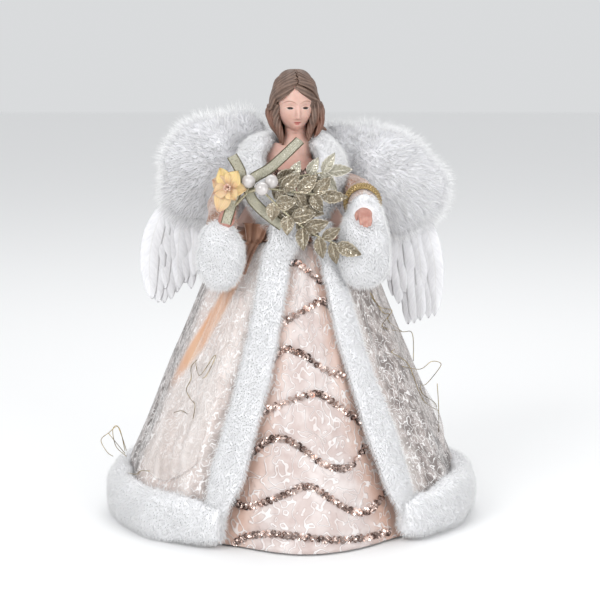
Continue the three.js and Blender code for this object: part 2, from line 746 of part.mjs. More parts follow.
sequinRows.forEach(({ heightShare, waveShare, waves, phase }, row) => {
  const middle = heightShare * waistHeight;
  const [rightEdge, leftEdge] = coatEdges(middle);
  const from = rightEdge + frontMargin(middle);
  const to = leftEdge - frontMargin(middle);
  const surface = (lift) => (u, v) => {
    const degrees = lerp(from, to, u);
    const wave = waveShare * waistHeight * Math.cos((u * waves + phase) * 2 * Math.PI);
    const z = middle + wave + (v - 1 / 2) * sequinRowWidth;
    return roundBody(degrees, skirtLine(degrees, z) + clothThickness + lift, z);
  };
  const strip = sheet(surface(2 * gap + sequinThickness), surface(2 * gap), sequinStepCount, 1);
  add(`sequin_row_${row + 1}`, strip, roseGold);
});

// Coat panels: the bell again, outside the underskirt, with folds that die out at the front edges
const coatWaistRadius = underskirtWaistRadius + clothThickness + gap;
const coatFoot = hemFurHeight + gap;
function coatLine(degrees, z) {
  const [right, left] = coatEdges(z);
  const fromRight = clamp((right - degrees) / coatFoldFadeAngle, 0, 1);
  const fromLeft = clamp((degrees - left) / coatFoldFadeAngle, 0, 1);
  const share = Math.max(fromRight, fromLeft);
  const low = 1 - skirtShare(z);
  const fold = (1 + Math.cos(radians(degrees * coatFoldCount))) / 2;
  return skirtRadius(z, coatHemRadius, coatWaistRadius) + coatFoldDepth * low * share * fold;
}
function coatPanel(fromAt, toAt, across) {
  const surface = (lift) => (u, v) => {
    const z = lerp(coatFoot, waistHeight, v);
    const degrees = lerp(fromAt(z), toAt(z), u);
    return roundBody(degrees, coatLine(degrees, z) + lift, z);
  };
  return sheet(surface(coatThickness), surface(0), across, coatRowCount);
}
{
  const seam = THREE.MathUtils.radToDeg(gap / coatWaistRadius) / 2;
  const [rightEdge, leftEdge] = [0, 1].map((side) => (z) => coatEdges(z)[side]);
  add("coat_right_panel", coatPanel(() => seam - seamAngle, rightEdge, rightPanelStepCount), brocade);
  add("coat_left_panel", coatPanel(leftEdge, () => seamAngle - seam, leftPanelStepCount), brocade);
  const back = coatPanel(() => seamAngle + seam, () => fullTurn - seamAngle - seam, backPanelStepCount);
  add("coat_back_panel", back, brocade);
}

// Fur bands down the coat's front edges
function furBand(edge) {
  const stationShares = Array.from({ length: coatRowCount }, (_, i) => i / coatRowCount);
  const heights = [...stationShares, bandTopShare].map((s) => lerp(coatFoot, waistHeight, s));
  const rings = heights.map((z) => {
    const degrees = coatEdges(z)[edge];
    const radius = coatLine(degrees, z) + coatThickness + 2 * gap + bandThickness / 2;
    const width = lerp(bandHemWidth, bandWaistWidth, skirtShare(z));
    const centre = roundBody(degrees, radius, z);
    const sideways = outward(degrees + 90);
    return ellipseRing(centre, sideways, outward(degrees), width / 2, bandThickness / 2, softSideCount);
  });
  return loft(rings);
}
add("fur_front_right", furBand(0), fur);
add("fur_front_left", furBand(1), fur);

// Hem fur: a roll on the table round the back and sides, under the coat
{
  const margin = THREE.MathUtils.radToDeg(bandHemWidth / coatHemRadius) * hemFurEndShare;
  const from = leftEdgeHemAngle - margin;
  const to = fullTurn + rightEdgeHemAngle + margin;
  const radius = underskirtHemRadius + clothThickness + gap + hemFurThickness / 2;
  const rings = Array.from({ length: hemStepCount + 1 }, (_, i) => {
    const degrees = lerp(from, to, i / hemStepCount);
    const centre = roundBody(degrees, radius, hemFurHeight / 2);
    const [halfThickness, halfHeight] = [hemFurThickness / 2, hemFurHeight / 2];
    return ellipseRing(centre, outward(degrees), vec(0, 0, 1), halfThickness, halfHeight, roundSideCount);
  });
  add("fur_hem", loft(rings), fur);
}

// Waist sash over the tops of both skirts
{
  const heightAt = (v) => waistHeight + gap + v * sashHeight;
  const surface = (off) => (u, v) => offTorso(u * fullTurn, heightAt(v), off);
  add("waist_sash", sheet(surface(gap + sashThickness), surface(gap), sashStepCount, 1, true), copperSatin);
}

// Shawl collar of fur: from the waist over the shoulders and round the neck
const collarPlaces = [
  { degrees: -5, heightShare: 0.0, lean: 0, liftShare: 1 },
  { degrees: -24, heightShare: 0.24, lean: 8, liftShare: 1 },
  { degrees: -50, heightShare: 0.72, lean: 34, liftShare: 1 },
  { degrees: -84, heightShare: 0.97, lean: 60, liftShare: 1.2 },
  { degrees: -130, heightShare: 1.0, lean: 50, liftShare: 0.9 },
  { degrees: -180, heightShare: 1.0, lean: 42, liftShare: 0.6 },
  { degrees: -230, heightShare: 1.0, lean: 50, liftShare: 0.9 },
  { degrees: -276, heightShare: 0.97, lean: 60, liftShare: 1.2 },
  { degrees: -310, heightShare: 0.72, lean: 34, liftShare: 1 },
  { degrees: -336, heightShare: 0.24, lean: 8, liftShare: 1 },
  { degrees: -352, heightShare: 0.0, lean: 0, liftShare: 1 },
];
{
  const low = waistHeight + sashHeight + collarWidth / 3;
  const high = neckBottomHeight - gap;
  const points = collarPlaces.map(({ degrees, heightShare, liftShare }) => {
    const lift = liftShare * sashThickness + 2 * gap + collarThickness / 2;
    return offTorso(degrees, lerp(low, high, heightShare), lift);
  });
  const leanAt = (t) => {
    const place = t * (collarPlaces.length - 1);
    const i = Math.min(Math.floor(place), collarPlaces.length - 2);
    return lerp(collarPlaces[i].lean, collarPlaces[i + 1].lean, place - i);
  };
  const normalAt = (t, p) => {
    const lean = radians(leanAt(t));
    const level = vec(p.x, p.y, 0).normalize();
    return level.multiplyScalar(Math.cos(lean)).add(vec(0, 0, Math.sin(lean)));
  };
  const widths = collarWidthShares.map((s) => (s * collarWidth) / 2);
  const halfThicknesses = [collarThickness / 2, collarThickness / 2];
  const collar = taperedTube(points, widths, halfThicknesses, collarStepCount, ballRingCount, normalAt);
  add("fur_collar", cut(collar, ...hairPieces(gap), ...bust(gap)), fur);
}

// Wings. Each is made at +X and mirrored. A place in the wing is given as shares of its span and height.
const wingRoot = hingeOut + knuckleRadius;
const wingY = (x) => hingeY - wingForward * Math.max((x - wingRoot) / wingSpan, 0) ** 1.5;
const wingPlace = (spanShare, heightShare, forward) => {
  const x = wingRoot + spanShare * wingSpan;
  return vec(x, wingY(x) - forward, wingBottom + heightShare * wingHeight);
};
const backingShares = [
  { span: 0, low: hingeHeightShare - knuckleHalfShare, high: hingeHeightShare + knuckleHalfShare },
  { span: 0.05, low: hingeHeightShare - knuckleHalfShare, high: hingeHeightShare + knuckleHalfShare },
  { span: 0.2, low: 0.62, high: 0.84 },
  { span: 0.42, low: 0.55, high: 0.93 },
  { span: 0.65, low: 0.5, high: 0.86 },
  { span: 0.85, low: 0.46, high: 0.7 },
  { span: 0.97, low: 0.44, high: 0.54 },
];
const downShares = [
  { span: 0.22, middle: 0.74, half: 0.07, thick: 0.5 },
  { span: 0.3, middle: 0.75, half: 0.17, thick: 0.85 },
  { span: 0.42, middle: 0.76, half: 0.235, thick: 1 },
  { span: 0.56, middle: 0.71, half: 0.25, thick: 1 },
  { span: 0.72, middle: 0.63, half: 0.24, thick: 0.95 },
  { span: 0.87, middle: 0.54, half: 0.19, thick: 0.85 },
  { span: 0.96, middle: 0.46, half: 0.11, thick: 0.5 },
];
const featherShares = [
  { rootSpan: 0.52, rootHeight: 0.6, tipSpan: 0.63, tipHeight: 0.09 },
  { rootSpan: 0.62, rootHeight: 0.58, tipSpan: 0.77, tipHeight: 0.0 },
  { rootSpan: 0.72, rootHeight: 0.55, tipSpan: 0.9, tipHeight: 0.03 },
  { rootSpan: 0.83, rootHeight: 0.51, tipSpan: 0.96, tipHeight: 0.17 },
];
const shareAt = (rows, key, t) => {
  const place = clamp(t, 0, 1) * (rows.length - 1);
  const i = Math.min(Math.floor(place), rows.length - 2);
  return lerp(rows[i][key], rows[i + 1][key], place - i);
};
// A round bar on the hinge's axis, centred on the knuckle
const onHinge = (halfHeight, radius, sides) => {
  const ends = [hingeHeight - halfHeight, hingeHeight + halfHeight].map((z) => vec(hingeOut, hingeY, z));
  return bar(...ends, radius, sides);
};
function wingBacking() {
  const surface = (forward) => (u, v) => {
    const [span, low, high] = ["span", "low", "high"].map((key) => shareAt(backingShares, key, u));
    return wingPlace(span, lerp(low, high, v), forward);
  };
  const board = sheet(surface(backingThickness / 2), surface(-backingThickness / 2), backingStepCount, 1);
  const knuckle = onHinge(knuckleHeight / 2, knuckleRadius + gap, smoothSideCount);
  const pinHole = onHinge(knuckleHeight / 2 + cutOverrun, pinRadius + gap, roundSideCount);
  return cut(joined([board, knuckle]), pinHole);
}
const featherLayerCount = 2;
const featherRoom = featherLayerCount * (featherThickness + gap) + backingThickness / 2 + gap;
function wingDown() {
  const rings = downShares.map(({ span, middle, half, thick }) => {
    const halfDepth = thick * downHalfThickness;
    const centre = wingPlace(span, middle, featherRoom + halfDepth);
    return ellipseRing(centre, vec(0, 0, 1), vec(0, 1, 0), half * wingHeight, halfDepth, downSideCount);
  });
  return loft(rings);
}
const featherWidthShares = [0.45, 0.8, 0.95, 1, 0.95, 0.75, 0.3].map((share) => ({ share }));
function wingFeather({ rootSpan, rootHeight, tipSpan, tipHeight }, index) {
  const layer = index % featherLayerCount;
  const forward = backingThickness / 2 + gap + layer * (featherThickness + gap);
  const steps = featherWidthShares.length - 1;
  const surface = (lift) => (u, v) => {
    const half = (shareAt(featherWidthShares, "share", v) * featherWidth) / 2;
    const middle = lerp(rootSpan, tipSpan, Math.sin((v * Math.PI) / 2));
    const span = middle + lerp(-half, half, u) / wingSpan;
    return wingPlace(span, lerp(rootHeight, tipHeight, v), forward + lift);
  };
  return sheet(surface(featherThickness), surface(0), 2, steps);
}
{
  const chest = torsoAt(mountBottom);
  const plateY = chest.depth + gap + mountThickness / 2;
  const plate = new THREE.BoxGeometry(mountWidth, mountThickness, mountHeight);
  plate.translate(0, plateY, mountBottom + mountHeight / 2);
  const lugDepth = hingeY + lugSize / 2 - plateY;
  const lugRise = knuckleHeight / 2 + gap + lugHeight / 2;
  const lugs = [1, -1].flatMap((side) =>
    [-lugRise, lugRise].map((rise) => {
      const lug = new THREE.BoxGeometry(lugSize, lugDepth, lugHeight);
      return lug.translate(side * hingeOut, plateY + lugDepth / 2, hingeHeight + rise);
    }),
  );
  const lugReach = lugRise + lugHeight / 2;
  const hole = onHinge(lugReach + cutOverrun, pinRadius + gap, roundSideCount);
  add("wing_mount", cut(joined([plate, ...lugs]), hole, mirrored(hole)), card);
  for (const [name, side] of [["right", -1], ["left", 1]]) {
    const onSide = (geometry) => (side < 0 ? mirrored(geometry) : geometry);
    const pin = onHinge(lugReach + gap, pinRadius, roundSideCount);
    const headFrom = vec(hingeOut, hingeY, hingeHeight + lugReach + gap);
    const headTo = headFrom.clone().add(vec(0, 0, pinHeadHeight));
    const head = bar(headFrom, headTo, 2 * pinRadius, roundSideCount);
    add(`wing_pin_${name}`, onSide(joined([pin, head])), steel);
    add(`wing_backing_${name}`, onSide(wingBacking()), card);
    add(`wing_down_${name}`, onSide(wingDown()), feather);
    featherShares.forEach((shares, i) => {
      add(`feather_${name}_${i + 1}`, onSide(wingFeather(shares, i)), feather);
    });
  }
}

// Bouquet: a wired pick in the right hand carries a flower, pearls, leaf sprays and ribbons.
// Places in it are shares of its span, from the crossing of its wires.
const rightWrist = vec(-rightArm.wrist.x, rightArm.wrist.y, rightArm.wrist.z);
const wireCrossing = rightWrist.add(vec(crossingInward, -crossingForward, crossingRise));
const bouquet = (shares) => vec(...shares).multiplyScalar(bouquetSpan).add(wireCrossing);
const front = vec(0, -1, 0);
// A thin lens with a pointed outline, given as shares of its length and half-width
function blade(base, direction, facing, size, outlineShares) {
  const along = direction.clone().normalize();
  const across = along.clone().cross(facing).normalize();
  const up = across.clone().cross(along).normalize();
  const place = ([s, w]) =>
    base.clone().addScaledVector(along, s * size.length).addScaledVector(across, (w * size.width) / 2);
  const outline = outlineShares.map(place);
  const middle = place([0.5, 0]);
  const top = middle.clone().addScaledVector(up, size.thickness);
  const bottom = middle.clone().addScaledVector(up, -size.thickness);
  return closedGeometry(
    outline.flatMap((p, i) => {
      const q = outline[(i + 1) % outline.length];
      return [[top, p, q], [bottom, q, p]];
    }),
  );
}
const leafOutlineShares = [[0, 0], [0.28, 0.85], [0.6, 0.95], [1, 0], [0.6, -0.95], [0.28, -0.85]];
const petalOutlineShares = [
  [0, 0], [0.35, 0.75], [0.7, 1], [0.95, 0.45], [0.95, -0.45], [0.7, -1], [0.35, -0.75],
];
const leafSize = { length: leafLength, width: leafWidth, thickness: leafThickness };
const petalSize = { length: petalLength, width: petalWidth, thickness: petalThickness };

// A spray: leaves in pairs along a stem that bends from one place to another, and a leaf at its end
function leafSpray(points, pairs) {
  const curve = new THREE.CatmullRomCurve3(points);
  const radii = [stemRadius, stemRadius * stemTaperShare];
  const pieces = [taperedTube(points, radii, radii, stemStepCount, stemSideCount)];
  const leafAt = (t, turn) => {
    const direction = curve.getTangent(t).applyAxisAngle(front, radians(turn));
    const foot = curve.getPoint(t).addScaledVector(direction, -stemRadius);
    return blade(foot, direction, front, leafSize, leafOutlineShares);
  };
  for (let i = 0; i < pairs; i++) {
    const t = lerp(firstLeafShare, lastLeafShare, i / (pairs - 1));
    pieces.push(leafAt(t, leafSpreadAngle), leafAt(t, -leafSpreadAngle));
  }
  pieces.push(leafAt(1, 0));
  return joined(pieces);
}
function ribbon(points) {
  const curve = new THREE.CatmullRomCurve3(points);
  const surface = (lift) => (u, v) => {
    const across = curve.getTangent(v).cross(front).normalize();
    const place = curve.getPoint(v).addScaledVector(across, (u - 1 / 2) * ribbonWidth);
    return place.addScaledVector(front, lift);
  };
  return sheet(surface(ribbonThickness), surface(0), 1, ribbonStepCount);
}
const hubShares = [-0.22, -0.02, 0.1];
const pearlShares = [[0.01, -0.01, 0.14], [0.3, -0.04, 0.14], [0.18, -0.14, 0.06]];
const crossingShares = [0, 0.05, 0];
const wireInHandShares = [-0.24, 0.104, -0.26];
const wireTipShares = [0.14, 0.05, 0.06];
const sprayShares = [
  [[0.6, 0.14, 0.18], [1, 0.16, 0.24]],
  [[0.56, 0.06, 0], [0.92, 0.08, -0.04]],
  [[0.48, -0.05, -0.26], [0.82, -0.03, -0.52], [1.12, 0.02, -0.66]],
];
const longRibbonShares = [
  [0.44, 0.06, -0.44], [0.2, 0.09, -0.26], [0.03, 0.088, -0.06], [0.04, 0.088, 0.14], [0.28, 0.26, 0.34],
  [0.64, 0.72, 0.62],
];
const shortRibbonShares = [
  [-0.3, -0.03, -0.4], [-0.26, 0.074, -0.2], [-0.25, 0.074, 0.02], [-0.24, 0.072, 0.24], [-0.22, 0.02, 0.44],
];
{
  const hub = bouquet(hubShares);
  const flowerFacing = vec(...flowerFacingShares).normalize();
  const side = vec(0, 0, 1).cross(flowerFacing).normalize();
  const over = flowerFacing.clone().cross(side);
  const petals = Array.from({ length: petalCount }, (_, i) => {
    const a = ((i + petalTurnShare) / petalCount) * 2 * Math.PI;
    const direction = side.clone().multiplyScalar(Math.cos(a)).addScaledVector(over, Math.sin(a));
    direction.addScaledVector(flowerFacing, petalCupShare);
    return blade(hub, direction, flowerFacing, petalSize, petalOutlineShares);
  });
  const eye = new THREE.SphereGeometry(flowerCentreRadius, softSideCount, wireSideCount);
  eye.translate(hub.x, hub.y, hub.z);
  add("flower", joined([...petals, eye]), petalSilk);

  const pearls = pearlShares.map(bouquet);
  pearls.forEach((at, i) => {
    const pearl = new THREE.SphereGeometry(pearlRadius, roundSideCount, ballRingCount);
    pearl.translate(at.x, at.y, at.z);
    add(`pearl_${i + 1}`, pearl, pearlWhite);
  });

  // The wires: the main one from the hand, and one to each head, stopping a hair short of it
  const crossing = bouquet(crossingShares);
  const tip = bouquet(wireTipShares);
  const short = (head, radius) => {
    const back = crossing.clone().sub(head).normalize();
    return head.clone().addScaledVector(back, radius + gap);
  };
  const wireTo = (end) => bar(crossing, end, pickRadius, ballRingCount);
  const knot = new THREE.SphereGeometry(pickRadius, ballRingCount, wireSideCount);
  knot.translate(crossing.x, crossing.y, crossing.z);
  const hubWire = wireTo(short(hub, flowerCentreRadius));
  const pearlWires = pearls.map((at) => wireTo(short(at, pearlRadius)));
  const handWire = wireTo(bouquet(wireInHandShares));
  add("pick_stem", joined([handWire, wireTo(tip), hubWire, ...pearlWires, knot]), steel);

  // The sprays start behind, past the end of, and below the main wire
  const beside = pickRadius + gap + stemRadius;
  const steps = [vec(0, beside, 0), vec(gap, 0, 0), vec(0, 0, -beside)];
  sprayShares.forEach((places, i) => {
    const spray = leafSpray([steps[i].add(tip), ...places.map(bouquet)], leafPairCount);
    add(`leaf_spray_${i + 1}`, spray, glitterLeaf);
  });
}
add("ribbon_long", ribbon(longRibbonShares.map(bouquet)), ribbonGold);
add("ribbon_short", ribbon(shortRibbonShares.map(bouquet)), ribbonGold);

// Sheer scarves that lie on the coat below the cuffs
function scarf({ fromAngle, toAngle, foot }, arm) {
  const low = coatFoot + foot;
  const high = arm.cuff.z - arm.cuffHalfHeight;
  const surface = (lift) => (u, v) => {
    const z = lerp(low, high, v);
    const degrees = lerp(fromAngle, toAngle, u);
    const puff = scarfPuff * Math.sin(u * Math.PI) * Math.sin(Math.min(v / scarfPuffShare, 1) * Math.PI);
    return roundBody(degrees, coatLine(degrees, z) + coatThickness + 2 * gap + puff + lift, z);
  };
  return sheet(surface(scarfThickness), surface(0), scarfStepCount, scarfRowCount);
}
add("scarf_right", scarf(rightScarf, rightArm), sheer);
add("scarf_left", scarf(leftScarf, leftArm), sheer);

export default angel;
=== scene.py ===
# %% [markdown]
# # Angel figurine
# A 12 inch angel as it stands on a side table or a tree: a resin head and hands on a board cone, dressed in
# satin, brocade and faux fur, with feather wings and a wired spray in one hand. The construction comes as a
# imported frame, and this lesson makes the finish of every piece around it, in metres, in the frame's own
# place. We start by loading the frame and keeping its box, because nothing that we add may grow far past
# it.

# %% Load the frame
import math
from random import Random

import bmesh
import bpy
from mathutils import Matrix, Vector, noise


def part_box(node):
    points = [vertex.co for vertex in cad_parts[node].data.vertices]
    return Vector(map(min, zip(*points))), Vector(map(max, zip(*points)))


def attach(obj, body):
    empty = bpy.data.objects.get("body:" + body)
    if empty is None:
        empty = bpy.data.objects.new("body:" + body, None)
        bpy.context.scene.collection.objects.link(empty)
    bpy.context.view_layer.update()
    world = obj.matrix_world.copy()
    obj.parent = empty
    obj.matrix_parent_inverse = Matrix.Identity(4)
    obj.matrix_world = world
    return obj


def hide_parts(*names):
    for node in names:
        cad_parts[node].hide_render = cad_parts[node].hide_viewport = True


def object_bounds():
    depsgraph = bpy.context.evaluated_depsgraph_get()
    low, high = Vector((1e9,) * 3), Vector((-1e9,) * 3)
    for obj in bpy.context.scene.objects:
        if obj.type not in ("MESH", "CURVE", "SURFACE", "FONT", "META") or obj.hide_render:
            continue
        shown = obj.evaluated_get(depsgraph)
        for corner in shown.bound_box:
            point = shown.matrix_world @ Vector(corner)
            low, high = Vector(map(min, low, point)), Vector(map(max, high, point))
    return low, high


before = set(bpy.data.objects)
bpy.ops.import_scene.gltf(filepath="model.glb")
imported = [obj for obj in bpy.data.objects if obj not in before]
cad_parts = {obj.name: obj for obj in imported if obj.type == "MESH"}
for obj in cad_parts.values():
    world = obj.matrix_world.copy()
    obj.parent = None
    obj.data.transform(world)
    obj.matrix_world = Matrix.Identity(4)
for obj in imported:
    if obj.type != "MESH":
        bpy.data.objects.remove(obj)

cad_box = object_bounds()
mm = 0.001
scene = bpy.context.scene
cad_box_mm = [[round(c / mm, 1) for c in corner] for corner in cad_box]
print("nodes:", len(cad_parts), "CAD box in mm:", cad_box_mm)

# %% [markdown]
# ## Camera
# The picture was taken from a little above the figure with a long lens, so the upright lines stay upright. We
# give the camera the same rise and distance, and a lens worked out from the picture's scale.

# %% Camera
camera_rise = math.radians(9)
camera_distance = 1.4
focal_pixels = 2080
picture_pixels = 600
camera_aim = Vector((6, 0, 143.5)) * mm

camera = bpy.data.objects.new("camera", bpy.data.cameras.new("camera"))
scene.collection.objects.link(camera)
camera.data.lens = camera.data.sensor_width * focal_pixels / picture_pixels
towards_camera = Vector((0, -math.cos(camera_rise), math.sin(camera_rise)))
camera.location = camera_aim + towards_camera * camera_distance
camera.rotation_euler = towards_camera.to_track_quat("Z", "Y").to_euler()
scene.camera = camera
print("lens in mm:", round(camera.data.lens, 1))

# %% [markdown]
# ## Studio
# White fur only reads as fur when soft light comes from the side, so that each tuft has a light and a darker
# flank. A big key light stands at the viewer's left, a weaker one at the right, one overhead, and a pale sky
# fills the rest. The floor is plain and pale.

# %% Studio
lamps = {
    # place in metres and power in watts
    "key_light": ((-0.9, -1.35, 1.0), 14),
    "fill_light": ((0.9, -1.4, 0.5), 10.5),
    "top_light": ((0.1, 0.5, 1.5), 6),
}
lamp_size = 0.9
sky_color, sky_strength = (0.97, 0.985, 1, 1), 0.72
floor_size = 8
floor_color, floor_roughness = (0.93, 0.93, 0.93, 1), 0.9


def area_lamp(name, place, watts):
    """A square soft light that faces the figure's middle."""
    lamp = bpy.data.objects.new(name, bpy.data.lights.new(name, "AREA"))
    scene.collection.objects.link(lamp)
    lamp.data.energy = watts
    lamp.data.size = lamp_size
    lamp.location = place
    lamp.rotation_euler = (Vector(place) - camera_aim).to_track_quat("Z", "Y").to_euler()


for name, (place, watts) in lamps.items():
    area_lamp(name, place, watts)
scene.world = bpy.data.worlds.new("studio")
scene.world.use_nodes = True
sky = scene.world.node_tree.nodes["Background"].inputs
sky["Color"].default_value = sky_color
sky["Strength"].default_value = sky_strength
scene.view_settings.view_transform = "Standard"

floor_form = bmesh.new()
bmesh.ops.create_grid(floor_form, x_segments=1, y_segments=1, size=floor_size / 2)
floor = bpy.data.objects.new("floor", bpy.data.meshes.new("floor"))
floor_form.to_mesh(floor.data)
floor_form.free()
scene.collection.objects.link(floor)
pale_floor = bpy.data.materials.new("pale_floor")
pale_floor.use_nodes = True
floor_shader = pale_floor.node_tree.nodes["Principled BSDF"].inputs
floor_shader["Base Color"].default_value = floor_color
floor_shader["Roughness"].default_value = floor_roughness
floor.data.materials.append(pale_floor)

# %% [markdown]
# ## Nodes in few words
# Every finish below is a node tree. Wiring nodes by hand takes many lines, so this small class adds a node,
# sets its inputs from numbers or from other nodes' outputs, and hands back the output. Where an input takes a
# colour, it may be a hex text, as read in a paint program.


# %% Node helper
def rgb(text):
    """A hex colour in Blender's linear values."""
    parts = [int(text[i : i + 2], 16) / 255 for i in (0, 2, 4)]
    return (*(c / 12.92 if c <= 0.04045 else ((c + 0.055) / 1.055) ** 2.4 for c in parts), 1)


class Nodes:
    """Adds nodes to one tree. An input's value is a number, a hex colour or another node's output."""

    def __init__(self, tree):
        self.tree = tree

    def put(self, socket, value):
        if isinstance(value, bpy.types.NodeSocket):
            self.tree.links.new(value, socket)
        elif value is not None:
            colored = socket.type == "RGBA" and isinstance(value, str)
            socket.default_value = rgb(value) if colored else value

    def add(self, kind, inputs=None, **settings):
        node = self.tree.nodes.new(kind)
        for key, value in settings.items():
            setattr(node, key, value)
        for key, value in (inputs or {}).items():
            self.put(node.inputs[key], value)
        return node

    def math(self, operation, *values):
        return self.add("ShaderNodeMath", dict(enumerate(values)), operation=operation).outputs[0]

    def vector(self, operation, *values):
        outputs = self.add("ShaderNodeVectorMath", dict(enumerate(values)), operation=operation).outputs
        return outputs["Value" if operation == "LENGTH" else "Vector"]

    def mix(self, factor, first, second):
        """Runs from the first colour to the second."""
        inputs = {0: factor, 6: first, 7: second}
        return self.add("ShaderNodeMix", inputs, data_type="RGBA").outputs[2]

    def blend(self, first, second, share):
        """A sum of two values: the first by its share, and the second by what is left."""
        return self.math("MULTIPLY_ADD", first, share, self.math("MULTIPLY", second, 1 - share))

    def parts(self, vector):
        return self.add("ShaderNodeSeparateXYZ", {0: vector}).outputs

    def joined(self, *values):
        return self.add("ShaderNodeCombineXYZ", dict(enumerate(values))).outputs[0]

    def ease(self, value, low, high, to_low=0.0, to_high=1.0):
        """Runs smoothly from to_low, where value is low, to to_high, where it is high."""
        inputs = {"Value": value, "From Min": low, "From Max": high, "To Min": to_low, "To Max": to_high}
        return self.add("ShaderNodeMapRange", inputs, interpolation_type="SMOOTHSTEP").outputs[0]

    def place(self):
        return self.add("ShaderNodeTexCoord").outputs["Object"]

    def cloth_place(self):
        return self.add("ShaderNodeUVMap", uv_map="cloth").outputs[0]

    def noise(self, size, detail=2.0, where=None):
        """Noise whose blotches are about size metres wide."""
        inputs = {"Vector": where or self.place(), "Scale": 1 / size, "Detail": detail}
        return self.add("ShaderNodeTexNoise", inputs).outputs["Fac"]

    def noise_group(self, given, detail, output="Fac"):
        """The same inside a node group, whose inputs Vector and Size say where and how wide."""
        scale = self.math("DIVIDE", 1.0, given["Size"])
        inputs = {"Vector": given["Vector"], "Scale": scale, "Detail": detail}
        return self.add("ShaderNodeTexNoise", inputs).outputs[output]

    def bump(self, height, depth, normal=None):
        inputs = {"Height": height, "Distance": depth, "Normal": normal, "Strength": 1.0}
        return self.add("ShaderNodeBump", inputs).outputs[0]

    def attribute(self, name, output="Fac"):
        return self.add("ShaderNodeAttribute", attribute_name=name).outputs[output]

    def group(self, tree, **inputs):
        named = {key.replace("_", " "): value for key, value in inputs.items()}
        return self.add("ShaderNodeGroup", named, node_tree=tree).outputs


def new_group(name, inputs, outputs):
    """A shader node group. An input with a number is a float, one without is a vector, and every output is a
    float. Returns the group, its helper, its inputs and its end."""
    tree = bpy.data.node_groups.new(name, "ShaderNodeTree")
    for socket, value in inputs.items():
        kind = "NodeSocketVector" if value is None else "NodeSocketFloat"
        made = tree.interface.new_socket(socket, in_out="INPUT", socket_type=kind)
        if value is not None:
            made.default_value = value
    for socket in outputs:
        tree.interface.new_socket(socket, in_out="OUTPUT", socket_type="NodeSocketFloat")
    nodes = Nodes(tree)
    return tree, nodes, nodes.add("NodeGroupInput").outputs, nodes.add("NodeGroupOutput").inputs


def new_finish(name, roughness, metallic=0.0, **sockets):
    """A material with plain values on its Principled shader, with its helper and the shader's inputs."""
    material = bpy.data.materials.new(name)
    material.use_nodes = True
    shader = material.node_tree.nodes["Principled BSDF"]
    shader.inputs["Roughness"].default_value = roughness
    shader.inputs["Metallic"].default_value = metallic
    for key, value in sockets.items():
        shader.inputs[key.replace("_", " ")].default_value = value
    return material, Nodes(material.node_tree), shader.inputs


# %% [markdown]
# ## Pieces in few words
# Sheets, rolls and tubes all start as a flat grid. `surface` moves each of the grid's points to the place
# that a formula gives for it, across (u) and along (v), and `tube` is the same grid wrapped round a smooth
# line. `piece` turns the result into an object that rides on one of the frame's bodies.


# %% Mesh helpers
def lerp(a, b, t):
    return a + (b - a) * t


def share(values, t):
    """Reads a list of values as a line over t from 0 to 1."""
    place = min(max(t, 0), 1) * (len(values) - 1)
    i = min(int(place), len(values) - 2)
    return lerp(values[i], values[i + 1], place - i)


def spline(points):
    """A smooth line through the points, as a function of t from 0 to 1."""
    knots = [Vector(p) for p in points]

    def at(t):
        place = min(max(t, 0), 1) * (len(knots) - 1)
        i = min(int(place), len(knots) - 2)
        f = place - i
        a, b, c, d = (knots[min(max(i + k, 0), len(knots) - 1)] for k in (-1, 0, 1, 2))
        square = 2 * a - 5 * b + 4 * c - d
        cube = 3 * b - a - 3 * c + d
        return 0.5 * (2 * b + (c - a) * f + square * f**2 + cube * f**3)

    return at


def heading(line, t):
    """The direction of a line at t."""
    step = 0.01
    return (line(min(t + step, 1)) - line(max(t - step, 0))).normalized()


def point_values(bm, name):
    """The form's layer of one named value per point."""
    return bm.verts.layers.float.get(name) or bm.verts.layers.float.new(name)


def join_form(bm, form):
    """Adds one form to another and frees it."""
    mesh = bpy.data.meshes.new("joined")
    form.to_mesh(mesh)
    form.free()
    bm.from_mesh(mesh)
    bpy.data.meshes.remove(mesh)


same_place = 0.01 * mm


def surface(place, across, along, closed=False, form=None, paint=None):
    """A grid with its points at place(u, v). A closed one meets itself across, as a skirt or a tube does.
    paint gives the points named values, each from a formula of u and v, for the finish to read."""
    bm = form or bmesh.new()
    if not bm.loops.layers.uv.get("cloth"):
        bm.loops.layers.uv.new("cloth")
    layers = {name: point_values(bm, name) for name in paint or {}}
    made = bmesh.ops.create_grid(bm, x_segments=across, y_segments=along, size=0.5, calc_uvs=True)["verts"]
    for name, layer in layers.items():
        for v in made:
            v[layer] = paint[name](v.co.x + 0.5, v.co.y + 0.5)
    for v in made:
        v.co = place(v.co.x + 0.5, v.co.y + 0.5)
    if closed:
        bmesh.ops.remove_doubles(bm, verts=made, dist=same_place)
    if closed == "capped":
        made = [v for v in made if v.is_valid]
        rims = {e for v in made for e in v.link_edges if e.is_boundary}
        bmesh.ops.holes_fill(bm, edges=list(rims), sides=0)
        faces = list({f for v in made for f in v.link_faces})
        bmesh.ops.recalc_face_normals(bm, faces=faces)
    return bm


def cloth_size(bm, width, length):
    """Scales the grid's own map to metres, so that a weave has its true size."""
    uv = bm.loops.layers.uv["cloth"]
    for face in bm.faces:
        for loop in face.loops:
            loop[uv].uv = (loop[uv].uv.x * width, loop[uv].uv.y * length)


def thicken(bm, thickness):
    """Gives a sheet its thickness, inwards from the faces."""
    bmesh.ops.recalc_face_normals(bm, faces=bm.faces)
    bmesh.ops.solidify(bm, geom=bm.faces[:], thickness=thickness)
    return bm


